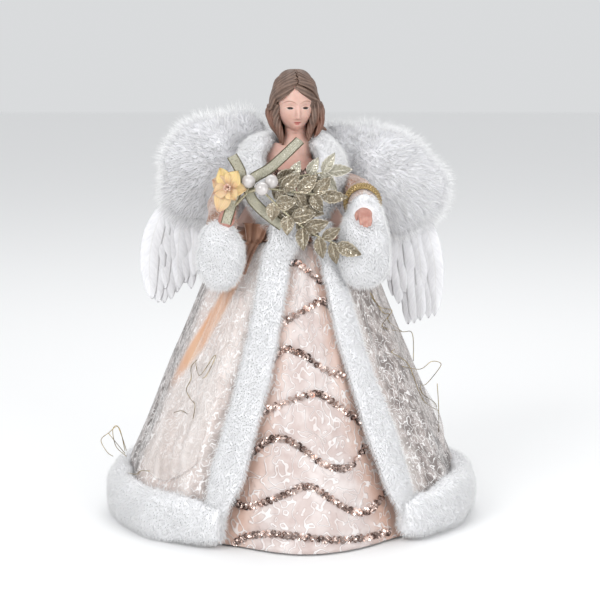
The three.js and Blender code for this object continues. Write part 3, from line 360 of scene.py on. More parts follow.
def tube(
    points, half_widths, half_depths, sides, steps, facing, form=None, twist=0.0, ridges=None, paint=None
):
    """A closed tube along a smooth line. Without half_depths it is round. facing is the direction of its
    depth, or gives it along the line, and ridges gives a factor on its radius."""
    line = spline(points)
    depths = half_depths or half_widths

    def place(u, v):
        tangent = heading(line, v)
        depth = facing(v) if callable(facing) else Vector(facing)
        depth = (depth - tangent * depth.dot(tangent)).normalized()
        width = tangent.cross(depth)
        turn = (u + twist * v) * 2 * math.pi
        grow = ridges(u, v) if ridges else 1
        side = width * math.cos(turn) * share(half_widths, v) + depth * math.sin(turn) * share(depths, v)
        return line(v) + side * grow

    return surface(place, sides, steps, closed="capped", form=form, paint=paint)


def piece(name, bm, material, body="root", nodes=(), smooth=True):
    """An object made from a bmesh, riding on a body of the frame and standing for its CAD nodes."""
    mesh = bpy.data.meshes.new(name)
    bm.to_mesh(mesh)
    bm.free()
    obj = bpy.data.objects.new(name, mesh)
    scene.collection.objects.link(obj)
    mesh.materials.append(material)
    mesh.polygons.foreach_set("use_smooth", [smooth] * len(mesh.polygons))
    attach(obj, body)
    if nodes:
        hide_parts(*nodes)
    print(f"{name}: {len(mesh.polygons)} faces")
    return obj

# %% [markdown]
# ## Fur
# The coat is trimmed with white plush fur: a knitted backing with a dense pile of fine hairs. A bump map
# would leave its outline hard, so the pile is real geometry. A geometry node tree scatters thin hairs over
# a form, each one a closed spike of three sides that leans the way the pile is combed, and the result is
# kept as a plain mesh. The comb direction and the pile's length are stored on the form's points, so one
# tree makes the plush trim, the loose down of the wings and the tufts round the cuffs.

# %% A hair
def hair_form(steps, bend):
    """A closed spike one unit long and one unit wide at its foot, bent towards +X at its tip."""
    bm = bmesh.new()
    bmesh.ops.create_cone(bm, cap_ends=True, segments=3, radius1=0.5, radius2=0, depth=1)
    bmesh.ops.remove_doubles(bm, verts=bm.verts, dist=0.001)
    upright = [e for e in bm.edges if abs(e.verts[0].co.z - e.verts[1].co.z) > 0.5]
    bmesh.ops.subdivide_edges(bm, edges=upright, cuts=steps - 1)
    for v in bm.verts:
        height = v.co.z + 0.5
        swell = 1 + height if 0 < height < 1 else 1
        v.co = Vector((v.co.x * swell + bend * height**2, v.co.y * swell, height))
    bmesh.ops.recalc_face_normals(bm, faces=bm.faces)
    return bm


def hair_object(name, steps, bend):
    mesh = bpy.data.meshes.new(name)
    bm = hair_form(steps, bend)
    bm.to_mesh(mesh)
    bm.free()
    reach = mesh.attributes.new("reach", "FLOAT", "POINT")
    reach.data.foreach_set("value", [v.co.z for v in mesh.vertices])
    mesh.polygons.foreach_set("use_smooth", [True] * len(mesh.polygons))
    return bpy.data.objects.new(name, mesh)


plush_hair = hair_object("plush_hair", steps=1, bend=0)
long_hair = hair_object("long_hair", steps=2, bend=0.22)
print("hair faces:", len(plush_hair.data.polygons), len(long_hair.data.polygons))

# %% [markdown]
# The scattering tree reads two attributes: `comb`, the direction that the pile leans in, with a length that
# says how hard it leans, and `pile`, the share of the full hair length at that point. Noise over the form
# turns neighbouring hairs together, which is what makes tufts.

# %% The scattering tree
tuft_size = 0.007


def fur_tree(hair, density, length, width, tufts, loose, seed):
    """A geometry node tree that covers a form with hairs. density is hairs per square metre. tufts and loose
    say how far the hairs lean, in wisps and each for itself."""
    tree = bpy.data.node_groups.new("pile", "GeometryNodeTree")
    tree.interface.new_socket("Geometry", in_out="INPUT", socket_type="NodeSocketGeometry")
    tree.interface.new_socket("Geometry", in_out="OUTPUT", socket_type="NodeSocketGeometry")
    nodes = Nodes(tree)
    form = nodes.add("NodeGroupInput").outputs[0]

    def stored(name, kind):
        return nodes.add("GeometryNodeInputNamedAttribute", {"Name": name}, data_type=kind).outputs[0]

    def random(low, high, salt, kind="FLOAT"):
        made = nodes.add("FunctionNodeRandomValue", data_type=kind)
        names = [s for s in made.inputs if s.enabled and s.name in ("Min", "Max")]
        nodes.put(names[0], low)
        nodes.put(names[1], high)
        nodes.put(made.inputs["Seed"], seed + salt)
        return next(s for s in made.outputs if s.enabled)

    pile = stored("pile", "FLOAT")
    dense = nodes.math("MULTIPLY", nodes.ease(pile, 0.0, 0.3), density)
    points = nodes.add("GeometryNodeDistributePointsOnFaces", {"Mesh": form, "Density": dense, "Seed": seed})
    upward = points.outputs["Normal"]
    roots = points.outputs["Points"]
    inputs = {"Geometry": roots, "Name": "strand", "Value": random(0.0, 1.0, 4)}
    roots = nodes.add("GeometryNodeStoreNamedAttribute", inputs, data_type="FLOAT", domain="POINT").outputs[0]
    swirl = nodes.add("ShaderNodeTexNoise", {"Scale": 1 / tuft_size, "Detail": 1.5}).outputs["Color"]
    swirl = nodes.vector("MULTIPLY", nodes.vector("SUBTRACT", swirl, (0.5,) * 3), (tufts,) * 3)
    stray = random((-loose,) * 3, (loose,) * 3, 1, "FLOAT_VECTOR")
    lean = nodes.vector("ADD", stored("comb", "FLOAT_VECTOR"), nodes.vector("ADD", swirl, stray))
    way = nodes.vector("NORMALIZE", nodes.vector("ADD", upward, lean))
    across = nodes.vector("SUBTRACT", lean, upward)
    turn = nodes.add("FunctionNodeAxesToRotation", {"Primary Axis": way, "Secondary Axis": across})
    turn.primary_axis = "Z"
    turn.secondary_axis = "X"
    tall = nodes.math("MULTIPLY", nodes.math("MULTIPLY", pile, random(0.65, 1.1, 2)), length)
    wide = nodes.math("MULTIPLY", random(0.7, 1.2, 3), width)
    size = nodes.joined(wide, wide, tall)
    hairs = nodes.add("GeometryNodeObjectInfo", {"Object": hair}).outputs["Geometry"]
    inputs = {"Points": roots, "Instance": hairs, "Rotation": turn.outputs[0], "Scale": size}
    grown = nodes.add("GeometryNodeInstanceOnPoints", inputs).outputs[0]
    plain = nodes.add("GeometryNodeRealizeInstances", {"Geometry": grown}).outputs[0]
    both = nodes.add("GeometryNodeJoinGeometry")
    tree.links.new(plain, both.inputs[0])
    tree.links.new(form, both.inputs[0])
    tree.links.new(both.outputs[0], nodes.add("NodeGroupOutput").inputs[0])
    return tree


# %% Growing the pile
least_height = 0.2 * mm


def grow_fur(obj, comb, density, length, width, tufts, loose, seed, pile=lambda place: 1, hair=plush_hair):
    """Covers a piece with hairs. comb(place) leans them and pile(place) is their share of the full length.
    density is per square mm, and length and width are in mm."""
    mesh = obj.data
    combs = mesh.attributes.new("comb", "FLOAT_VECTOR", "POINT")
    combs.data.foreach_set("vector", [c for v in mesh.vertices for c in comb(v.co)])
    piles = mesh.attributes.new("pile", "FLOAT", "POINT")
    piles.data.foreach_set("value", [pile(v.co) for v in mesh.vertices])
    grower = obj.modifiers.new("pile", "NODES")
    grower.node_group = fur_tree(hair, density / mm**2, length * mm, width * mm, tufts, loose, seed)
    grown = bpy.data.meshes.new_from_object(obj.evaluated_get(bpy.context.evaluated_depsgraph_get()))
    obj.modifiers.clear()
    obj.data = grown
    finish = mesh.materials[0]
    grown.materials.clear()
    grown.materials.append(finish)
    grown.polygons.foreach_set("material_index", [0] * len(grown.polygons))
    for v in grown.vertices:
        v.co.z = max(v.co.z, least_height)
    print(f"{obj.name}: {sum(len(p.vertices) - 2 for p in grown.polygons)} triangles of fur")
    return obj


# %% [markdown]
# Fur fibres let light through, so white plush glows where it is thin and is only a little grey at its roots.
# The material gives each hair a slightly different white from its stored `strand` number, and paints shade
# on the foot of each hair by its stored `reach`.


# %% Fur finish
def fur_finish(name, root, tip):
    material, nodes, shader = new_finish(name, 0.9, Sheen_Weight=0.25, Sheen_Roughness=0.5)
    strand = nodes.attribute("strand")
    reach = nodes.attribute("reach")
    worn = nodes.noise(20 * mm, 3)
    tone = nodes.math("ADD", nodes.math("MULTIPLY", reach, 0.7), nodes.math("MULTIPLY", strand, 0.35))
    # painted shade: the colour runs from root at each hair's foot, where reach is low, to tip at its end
    color = nodes.mix(nodes.ease(tone, 0.0, 0.75), root, tip)
    color = nodes.mix(nodes.ease(worn, 0.45, 0.75, 0, 0.25), color, root)
    nodes.put(shader["Base Color"], color)
    return material


# f4f4f6 is the painted shade at the foot of each hair
plush = fur_finish("white_plush_fur", "f4f4f6", "ffffff")

# %% [markdown]
# ## The dress's lines
# The skirts are two cones, one in the other, so every piece of the dress can be placed by an angle round the
# body, 0 in front and 90 at the figure's left, and a height. The radii come from the frame's own boxes. The
# underskirt swings forward between the coat's edges, and the coat hangs in soft folds that die out there.

# %% Lines of the dress
gap = 0.3 * mm
cloth = 1.2 * mm
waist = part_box("underskirt")[1].z
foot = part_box("underskirt")[0].z
waist_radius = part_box("bodice")[1].x + gap
hem_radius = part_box("underskirt")[1].x - cloth
coat_spread = 12 * mm
coat_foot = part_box("coat_back_panel")[0].z
front_flare, flare_angle, flare_half_angle = 15 * mm, 8, 34
fold_depth, fold_count, fold_fade = 6 * mm, 11, 25
edge_angles = {"right": (-27, -9), "left": (43, 27)}
seam_angle = 112
degree = math.pi / 180
sides = {"right": -1, "left": 1}


def round_body(angle, radius, z):
    return Vector((radius * math.sin(angle * degree), -radius * math.cos(angle * degree), z))


def rise(z):
    """The share of the way from the table to the waist."""
    return min(max(z / waist, 0), 1)


def skirt_line(angle, z):
    """The underskirt's outer radius."""
    x = (angle - flare_angle) / flare_half_angle
    swing = math.cos(x * math.pi / 2) ** 2 * (1 - rise(z)) if abs(x) < 1 else 0
    ripple = 0.8 * mm * (1 + math.cos(angle * 11 * degree))
    return lerp(hem_radius, waist_radius, rise(z)) + cloth + swing * (front_flare + ripple)


def coat_edge(side, z):
    hem, top = edge_angles[side]
    return lerp(hem, top, rise(z))


def coat_line(angle, z):
    """The coat's outer radius, with its folds."""
    around = (angle + 180) % 360 - 180
    past = max(coat_edge("right", z) - around, around - coat_edge("left", z), 0)
    fold = (1 + math.cos(angle * fold_count * degree)) / 2
    low = 1 - rise(z)
    cone = lerp(hem_radius + coat_spread, waist_radius + cloth, rise(z))
    return cone + cloth + (fold_depth * low * min(past / fold_fade, 1) * fold)


waist_and_radii = [round(size / mm) for size in (waist, waist_radius, hem_radius)]
print("waist height, waist radius and hem radius in mm:", *waist_and_radii)

# %% [markdown]
# The chest and shoulders narrow above the waist. The same short table of half-widths and half-depths carries
# the collar, the sash and the neckline.

# %% Line of the body
chest = waist + 26 * mm
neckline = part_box("bodice")[1].z
shoulders = neckline + 10 * mm
neck_foot = shoulders + 10 * mm
body_stations = [
    (waist, 43 * mm, 43 * mm),
    (chest, 26 * mm, 21 * mm),
    (neckline, 26 * mm, 21 * mm),
    (shoulders, 21 * mm, 15 * mm),
    (neck_foot, 7.5 * mm, 7.5 * mm),
]


def off_body(angle, z, distance):
    """A place outside the bodice or the chest plate."""
    width, depth = body_stations[0 if z < waist else -1][1:]
    for (low, w0, d0), (high, w1, d1) in zip(body_stations, body_stations[1:]):
        if low <= z <= high:
            t = (z - low) / (high - low)
            width, depth = lerp(w0, w1, t), lerp(d0, d1, t)
    x = (width + distance) * math.sin(angle * degree)
    y = -(depth + distance) * math.cos(angle * degree)
    return Vector((x, y, z))


# %% [markdown]
# ## Fur on the coat
# Each trim is a soft roll with the pile growing from it. The roll is made a little thinner than the space it
# may fill, because the hairs stand a few millimetres off it. The bands run down the coat's front edges, the
# hem is a thick roll on the table, open in front, and the pile is combed down and outwards as it falls.

# %% Front bands and hem
hem_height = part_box("fur_hem")[1].z
hem_thickness = 17 * mm
band_foot_width = 28 * mm
band_top_widths = {"right": 23 * mm, "left": 17 * mm}
band_top = waist + 14 * mm
band_below_coat = 12 * mm
band_thickness = 10 * mm
band_wave = 0.8 * mm
band_end_shares = [0.55, 0.85] + [1] * 12 + [0.9]
sash_step, sash_step_height, sash_step_angle = 3 * mm, 8 * mm, 4
pile_room = 3 * mm


def outward(angle):
    return round_body(angle, 1, 0)


def lumps(place, size=14 * mm, height=1.0 * mm):
    """The soft unevenness of a stuffed roll."""
    return noise.noise(place / size) * height


def combed(down, out):
    """The comb of a pile that falls by one share and stands off by another."""

    def comb(place):
        level = Vector((place.x, place.y, 0)).normalized()
        return Vector((0, 0, -down)) + level * out

    return comb


def fur_band(side):
    stations = 24

    def line(v):
        """The band's angle and its place. It steps over the sash and turns in a little there."""
        z = lerp(coat_foot - band_below_coat, band_top, v)
        over_sash = min(max((z - waist) / sash_step_height + 1, 0), 1)
        angle = coat_edge(side, z) - over_sash * sash_step_angle * sides[side]
        lift = gap + band_thickness / 2 - pile_room / 2 + over_sash * sash_step
        return angle, round_body(angle, coat_line(angle, z) + lift + band_wave * math.sin(v * 9), z)

    points = [line(i / stations)[1] for i in range(stations + 1)]
    last = len(band_end_shares) - 1
    widths = [lerp(band_foot_width, band_top_widths[side], i / last) for i in range(last + 1)]
    halves = [(width / 2 - pile_room) * s for width, s in zip(widths, band_end_shares)]
    depths = [(band_thickness / 2 - pile_room / 2) * s for s in band_end_shares]
    bm = tube(points, halves, depths, sides=20, steps=70, facing=lambda v: outward(line(v)[0]))
    for v in bm.verts:
        v.co += v.normal * lumps(v.co)
    obj = piece(f"fur_band_{side}", bm, plush, nodes=[f"fur_front_{side}"])
    comb = combed(0.8, 0.15)
    grow_fur(obj, comb, density=2.3, length=4.5, width=0.27, tufts=0.45, loose=0.25, seed=3)


for side in sides:
    fur_band(side)

# %% Hem roll
hem_margin = 4
hem_end_shares = [0.6, 0.92] + [1] * 30 + [0.92, 0.6]
fullness = 2.7


def fur_hem():
    start, end = edge_angles["left"][0] - hem_margin, 360 + edge_angles["right"][0] + hem_margin
    stations = 48
    radius = hem_radius + cloth - gap + hem_thickness / 2

    def angle(v):
        return lerp(start, end, v)

    points = [round_body(angle(i / stations), radius, hem_height / 2) for i in range(stations + 1)]
    heights = [(hem_height / 2 - pile_room * 0.4) * s for s in hem_end_shares]
    depths = [(hem_thickness / 2 - pile_room * 0.3) * s for s in hem_end_shares]

    def full(u, v):
        """Fills the section out towards a rounded square."""
        a, b = abs(math.cos(u * 2 * math.pi)), abs(math.sin(u * 2 * math.pi))
        return (a**fullness + b**fullness) ** (-1 / fullness)

    bm = tube(points, heights, depths, sides=24, steps=220, facing=lambda v: outward(angle(v)), ridges=full)
    for v in bm.verts:
        wave = lumps(v.co, 26 * mm, 3 * mm) + lumps(v.co, 9 * mm, 1 * mm)
        v.co += v.normal * wave
        v.co.z = max(v.co.z, least_height)
    obj = piece("fur_hem_roll", bm, plush, nodes=["fur_hem"])
    comb = combed(0.9, 0.2)
    grow_fur(obj, comb, density=1.5, length=4.5, width=0.3, tufts=0.5, loose=0.25, seed=5)


fur_hem()

# %% [markdown]
# The shawl collar is one long roll: it starts at the waist in front, widens over the chest, goes over the
# shoulders and round the neck, and comes back down the other side. Its cross-section leans over with the
# shoulder, so the direction of its depth is given along the way.

# %% Collar
collar_low = waist + 11 * mm
collar_width, collar_thickness, collar_lift = 27 * mm, 14 * mm, 4.5 * mm
collar_stations = [
    # angle, height share, lean in degrees, lift share
    (-5, 0.0, 0, 1.0),
    (-24, 0.24, 8, 1.0),
    (-50, 0.72, 34, 1.0),
    (-84, 0.97, 60, 1.2),
    (-130, 1.0, 50, 0.9),
    (-180, 1.0, 42, 0.6),
    (-230, 1.0, 50, 0.9),
    (-276, 0.97, 60, 1.2),
    (-310, 0.72, 34, 1.0),
    (-336, 0.24, 8, 1.0),
    (-352, 0.0, 0, 1.0),
]
collar_width_shares = [0.72, 0.95, 1, 1, 0.85, 0.75, 0.85, 1, 1, 0.95, 0.72]


def collar():
    places = []
    for angle, up, lean, raised in collar_stations:
        lift = collar_lift * raised + 2 * gap + collar_thickness / 2
        places.append(off_body(angle, lerp(collar_low, neck_foot - gap, up), lift))
    leans = [lean for angle, up, lean, raised in collar_stations]
    line = spline(places)

    def facing(v):
        here = line(v)
        lean = share(leans, v) * degree
        return Vector((here.x, here.y, 0)).normalized() * math.cos(lean) + Vector((0, 0, math.sin(lean)))

    widths = [collar_width / 2 * s - pile_room for s in collar_width_shares]
    depths = [collar_thickness / 2 - pile_room / 2] * 2
    bm = tube(places, widths, depths, sides=24, steps=120, facing=facing)
    for v in bm.verts:
        v.co += v.normal * lumps(v.co, 11 * mm, 1.6 * mm)
    obj = piece("fur_shawl_collar", bm, plush, nodes=["fur_collar"])
    comb = combed(0.45, 0.6)
    grow_fur(obj, comb, density=2.2, length=5, width=0.27, tufts=0.5, loose=0.3, seed=7)


collar()

# %% [markdown]
# ## Bell cuffs
# Each sleeve ends in a big bell of plush that hangs closed, with its seam towards the body. The bell is an
# egg with a slack, dented middle, and the pile is left off where the hand comes out.

# %% Cuffs
cuff_dents = {"right": Vector((-52, -68, 176)) * mm, "left": Vector((56, -68, 172)) * mm}
dent_depth, dent_size = 2.2 * mm, 7 * mm
cuff_crowns = {"right": 0.0, "left": 9 * mm}
hand_room, hand_rim = 5.5, 3


def cuff(side):
    low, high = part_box(f"cuff_{side}")
    middle, half = (low + high) / 2, (high - low) / 2
    hand_low, hand_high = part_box(f"hand_{side}")
    hand = (hand_low + hand_high) / 2

    def place(u, v):
        turn, tilt = u * 2 * math.pi, (v - 0.5) * math.pi
        n = Vector((math.cos(turn) * math.cos(tilt), math.sin(turn) * math.cos(tilt), math.sin(tilt)))
        slack = 1 + 0.1 * max(-n.z, 0) - 0.12 * max(n.z, 0)
        x = n.x * (half.x - pile_room) * slack
        y = n.y * (half.y - pile_room * 0.5) * slack
        spot = middle + Vector((x, y, n.z * (half.z - pile_room)))
        spot += n * lumps(spot, 12 * mm, 1.6 * mm)
        spot.z += cuff_crowns[side] * max(n.z, 0) * min(max(n.y + 0.5, 0), 1)
        spot.y += dent_depth * math.exp(-(((spot - cuff_dents[side]).length / dent_size) ** 2))
        return spot

    bm = surface(place, 44, 34, closed=True)
    obj = piece(f"fur_bell_{side}", bm, plush, f"{side}_arm", [f"cuff_{side}"])

    def off_hand(place):
        away = (place - hand).length / mm
        return min(max((away - hand_room) / hand_rim, 0), 1)

    sizes = {"density": 2.6, "length": 4.5, "width": 0.26, "tufts": 0.45, "loose": 0.25}
    grow_fur(obj, combed(0.75, 0.2), seed=11, pile=off_hand, **sizes)


for side in sides:
    cuff(side)

# %% [markdown]
# ## Wings
# Each wing is a card with two kinds of feather glued to it. Short down, the kind sold as marabou, covers its
# shoulder in one loose cloud, and long soft plumes hang below from it. The card bows backwards towards its
# tip, and every place on it is given by a share of its span and of its height.

# %% Wing places
wing_root = 15 * mm
wing_hinge_depth = 34 * mm
wing_bow = 9 * mm
plume_foot = min(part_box(f"feather_right_{i + 1}")[0].z for i in range(4))
wing_height = 151 * mm
wing_span = 96 * mm
down_front = 2.7 * mm
down_thickness = 8 * mm


def wing_place(side, span, height, forward=0.0):
    depth = wing_hinge_depth - wing_bow * max(span, 0) ** 1.5 - forward
    return Vector((sides[side] * (wing_root + wing_span * span), depth, plume_foot + wing_height * height))


# %% [markdown]
# The down is the fur tree again with long curved hairs. They point away from the middle of the wing's
# shoulder and droop, so that the outline breaks into small spikes, and the tuft noise gathers them in wisps.
# Worked by hand, no two wings come out alike: the figure's right one stands higher, its left one wider.

# %% Down
down_stations = {
    # span, top, bottom, thickness, all as shares
    "right": [
        (0.0, 0.9, 0.62, 0.2),
        (0.1, 0.92, 0.54, 0.45),
        (0.2, 0.912, 0.47, 0.75),
        (0.33, 0.885, 0.42, 1.0),
        (0.46, 0.84, 0.39, 1.0),
        (0.56, 0.775, 0.4, 0.95),
        (0.65, 0.69, 0.42, 0.8),
        (0.72, 0.59, 0.5, 0.4),
    ],
    "left": [
        (0.0, 0.85, 0.6, 0.2),
        (0.1, 0.87, 0.53, 0.4),
        (0.22, 0.865, 0.46, 0.7),
        (0.38, 0.84, 0.4, 1.0),
        (0.52, 0.81, 0.37, 1.0),
        (0.65, 0.76, 0.36, 0.95),
        (0.78, 0.68, 0.38, 0.85),
        (0.88, 0.53, 0.45, 0.4),
    ],
}
card_thickness, card_margin = 1.6 * mm, 4 * mm
down_middle, down_swirl = (0.3, 0.6), 40 * mm
# f2f2f5 is the painted shade at the foot of each hair of the down
down = fur_finish("marabou_down", "f2f2f5", "ffffff")


def wing_down(side):
    rows = down_stations[side]
    points = [wing_place(side, s, (t + b) / 2, down_front + down_thickness * d) for s, t, b, d in rows]
    halves = [(t - b) / 2 * wing_height for s, t, b, d in rows]
    depths = [down_thickness * d for s, t, b, d in rows]
    bm = tube(points, halves, depths, sides=44, steps=48, facing=(0, -1, 0))
    for v in bm.verts:
        v.co += v.normal * lumps(v.co, 16 * mm, 3 * mm)
    obj = piece(f"wing_marabou_{side}", bm, down, f"{side}_wing", [f"wing_down_{side}"])
    middle = wing_place(side, *down_middle)

    def comb(place):
        away = Vector((place.x - middle.x, 0, place.z - middle.z)) / down_swirl
        return away + Vector((sides[side] * 0.3, 0.05, -0.45))

    sizes = {"density": 1.2, "length": 11, "width": 0.22, "tufts": 1.1, "loose": 0.5}
    grow_fur(obj, comb, seed=21, hair=long_hair, **sizes)


for side in sides:
    wing_down(side)

# %% [markdown]
# A plume is a soft white feather with a quill and two smooth vanes. The vane's barbs lie flat side by side
# and part only at the edge, so it is one thin cambered blade. The blade stores how far across and along
# each point is, and the material draws the quill and the slanting barbs from that.

# %% Plume finish
barb_spacing, barb_slant = 0.6 * mm, 9 * mm
feather, nodes, shader = new_finish("white_plume", 0.75, Sheen_Weight=0.2, Sheen_Roughness=0.5)
across = nodes.attribute("across")
along = nodes.attribute("along")
from_quill = nodes.math("ABSOLUTE", across)
barb = nodes.math("SUBTRACT", along, nodes.math("MULTIPLY", from_quill, barb_slant))
strand = nodes.joined(barb, nodes.math("MULTIPLY", across, 2 * mm))
fine = nodes.noise(barb_spacing, where=strand)
wisp = nodes.noise(barb_spacing * 5, where=strand)
quill = nodes.ease(from_quill, 0.02, 0.09, 0.25, 0)
color = nodes.mix(nodes.ease(nodes.blend(fine, wisp, 0.5), 0.3, 0.7), "dddde0", "ededef")
nodes.put(shader["Base Color"], nodes.mix(quill, color, "cbc9c3"))
nodes.put(shader["Normal"], nodes.bump(fine, 0.1 * mm, nodes.bump(wisp, 0.2 * mm)))

# %% Plume
plume_width_shares = [0.4, 0.72, 0.9, 1.0, 1.0, 0.99, 0.95, 0.88, 0.76, 0.56, 0.06]
plume_camber, plume_ripple = 0.22, 0.25 * mm
plume_thickness = 0.25 * mm


def plume(bm, points, width, roll):
    """Adds one thin blade to the form. roll turns its face to one side."""
    line = spline(points)
    front = Vector((0, -1, 0))
    length = sum((b - a).length for a, b in zip(points, points[1:]))

    def place(u, v):
        forward = heading(line, v)
        across = forward.cross(front).normalized()
        out = (front - forward * front.dot(forward)).normalized()
        side = 2 * u - 1
        half = width / 2 * share(plume_width_shares, v)
        ripple = plume_ripple * math.sin(v * 17 + side * 2.5)
        camber = plume_camber * half * (1 - side * side)
        return line(v) + across * side * half + out * (camber + roll * side * half + ripple)

    paint = {"across": lambda u, v: 2 * u - 1, "along": lambda u, v: v * length}
    surface(place, 10, 30, form=bm, paint=paint)


# %% [markdown]
# Each of the wing's plume bundles in the frame becomes a fan of plumes. They start under the down, swing out,
# and their ends curl in and forward.

# %% Plume bundles
plume_roots = [(0.44, 0.58), (0.53, 0.57), (0.62, 0.55), (0.7, 0.52)]
plume_tips = {
    # span and height of each bundle's tip, as shares
    "right": [(0.5, 0.15), (0.6, 0.1), (0.7, 0.06), (0.79, 0.015)],
    "left": [(0.5, 0.11), (0.61, 0.04), (0.72, -0.06), (0.82, -0.02)],
}
plume_width = 15 * mm
plumes_each = 3
plume_swing = 0.055
plume_bow, plume_curl = 1.5 * mm, 8.58 * mm
first_layer, next_layer = 0.8 * mm, 0.7 * mm


def plume_bundle(side, number):
    dice = Random(31 + number + 10 * (side == "left"))
    first, last = Vector(plume_roots[number]), Vector(plume_tips[side][number])
    bm = bmesh.new()
    for k in range(plumes_each):
        fan = k / (plumes_each - 1) - 0.5
        root = first + Vector((0.07 * fan, -0.015 * k))
        tip = last + Vector((0.085 * fan, dice.uniform(-0.01, 0.04) + 0.03 * abs(fan)))
        layer = first_layer + next_layer * (k + number)
        points = []
        for i in range(7):
            t = i / 6
            at = root.lerp(tip, t)
            swing = plume_swing * math.sin(math.pi * t**0.9) * (0.5 + number * 0.2)
            forward = plume_bow * math.sin(t * 3) + plume_curl * max(t - 0.7, 0)
            points.append(wing_place(side, at.x + swing, at.y, layer + forward))
        plume(bm, points, plume_width * dice.uniform(0.85, 1.05), roll=dice.uniform(-0.15, 0.15))
    nodes = [f"feather_{side}_{number + 1}"]
    thicken(bm, plume_thickness)
    piece(f"plumes_{side}_{number + 1}", bm, feather, f"{side}_wing", nodes)


for side in sides:
    for number in range(len(plume_roots)):
        plume_bundle(side, number)

# %% [markdown]
# ## Cloth patterns
# Three effects are shared by several cloths, so each is a node group. `weave` is the height of a plain
# weave. `scrolls` draws a cord of one width along the contours of a curling noise, which is how embroidered
# meanders and lace can be had without a picture: the level's distance to a contour is divided by its slope,
# so the cord doesn't widen where the noise is flat. `soft_folds` gives the slow painted light and shade of
# soft folds over a satin, and their height.

# %% Cloth groups
weave, nodes, given, made = new_group("weave", {"Vector": None, "Spacing": 0.6 * mm}, ["Height"])
turns = nodes.vector("DIVIDE", given["Vector"], nodes.joined(*[given["Spacing"]] * 3))
axes = nodes.parts(nodes.vector("MULTIPLY", turns, (2 * math.pi,) * 3))
threads = nodes.math("MULTIPLY", nodes.math("SINE", axes[0]), nodes.math("SINE", axes[1]))
nodes.put(made["Height"], nodes.math("MULTIPLY_ADD", threads, 0.5, 0.5))

inputs = {"Vector": None, "Size": 6 * mm, "Lines": 3.0, "Width": 0.4 * mm, "Curl": 0.5}
scrolls, nodes, given, made = new_group("scrolls", inputs, ["Line", "Height"])
often = nodes.math("DIVIDE", 1.0, given["Size"])
swirl = nodes.vector("SUBTRACT", nodes.noise_group(given, 1.0, "Color"), (0.5,) * 3)
inputs = {0: swirl, "Scale": nodes.math("MULTIPLY", given["Curl"], given["Size"])}
swing = nodes.add("ShaderNodeVectorMath", inputs, operation="SCALE").outputs[0]
curled = nodes.vector("ADD", given["Vector"], swing)
slope_step = 0.15 * mm


def contour_level(shift):
    inputs = {"Vector": nodes.vector("ADD", curled, shift), "Scale": often, "Detail": 0.0}
    return nodes.math("MULTIPLY", nodes.add("ShaderNodeTexNoise", inputs).outputs["Fac"], given["Lines"])


level = contour_level((0, 0, 0))
shifts = [(slope_step, 0, 0), (0, slope_step, 0), (0, 0, slope_step)]
rises = [nodes.math("SUBTRACT", contour_level(shift), level) for shift in shifts]
slope = nodes.vector("LENGTH", nodes.joined(*rises))
steep = nodes.math("MAXIMUM", nodes.math("DIVIDE", slope, slope_step), 1.0)
part = nodes.math("FRACT", level)
near = nodes.math("MINIMUM", part, nodes.math("SUBTRACT", 1.0, part))
off_line = nodes.math("DIVIDE", nodes.math("DIVIDE", near, steep), given["Width"])
nodes.put(made["Line"], nodes.ease(off_line, 0.6, 1.1, 1, 0))
nodes.put(made["Height"], nodes.ease(off_line, 0.0, 2.2, 1, 0))

inputs = {"Vector": None, "Size": 20 * mm}
soft_folds, nodes, given, made = new_group("soft_folds", inputs, ["Shade", "Height"])
stretched = nodes.vector("MULTIPLY", given["Vector"], (1.0, 1.0, 0.3))
inputs = {"Vector": stretched, "Scale": nodes.math("DIVIDE", 1.0, given["Size"]), "Detail": 2.5}
slow = nodes.add("ShaderNodeTexNoise", inputs).outputs["Fac"]
# Shade is the painted light and shade of the folds, for a finish to mix into its colour
nodes.put(made["Shade"], nodes.ease(slow, 0.3, 0.7))
nodes.put(made["Height"], slow)

# %% [markdown]
# ## Underskirt
# The underskirt is blush satin, embroidered all over with a white meander in a slightly raised thread. It is
# one sheet sewn into a cone, gathered at the waist and pushed forward between the coat's edges. Next to the
# fur its colour warms to peach, and `warm`, painted on the sheet's points, says how far.

# %% Underskirt finish
thread_spacing, thread_depth = 0.7 * mm, 0.06 * mm
sheen = {"Sheen_Weight": 0.3, "Sheen_Roughness": 0.4}
blush_satin, nodes, shader = new_finish("blush_satin_embroidered", 0.42, **sheen)
cloth_map = nodes.cloth_place()
stitch = nodes.group(scrolls, Vector=cloth_map, Size=10 * mm, Lines=3.8, Width=0.48 * mm, Curl=1.8)
folds = nodes.group(soft_folds, Vector=nodes.place(), Size=18 * mm)
cloud = nodes.ease(nodes.noise(12 * mm, where=cloth_map), 0.4, 0.62)
# painted light and shade of the soft folds, half and half with random clouding
ground = nodes.mix(nodes.blend(folds["Shade"], cloud, 0.5), "bfada8", "dad1ce")
ground = nodes.mix(nodes.math("MULTIPLY", nodes.attribute("warm"), 0.55), ground, "d9a88c")
thread = nodes.group(weave, Vector=cloth_map, Spacing=thread_spacing)["Height"]
stitched = nodes.math("MULTIPLY", stitch["Line"], nodes.math("MULTIPLY_ADD", cloud, 0.35, 0.55))
# painted shade along the foot of each raised cord, just off its line
outline = nodes.math("SUBTRACT", stitch["Height"], nodes.math("MULTIPLY", stitch["Line"], stitch["Height"]))
ground = nodes.mix(nodes.math("MULTIPLY", outline, 0.4), ground, "a08378")
nodes.put(shader["Base Color"], nodes.mix(stitched, ground, "ebe8e7"))
nodes.put(shader["Roughness"], nodes.math("MULTIPLY_ADD", stitch["Line"], 0.15, 0.5))
relief = nodes.bump(folds["Height"], 0.8 * mm, nodes.bump(thread, thread_depth))
nodes.put(shader["Normal"], nodes.bump(stitch["Height"], 0.3 * mm, relief))

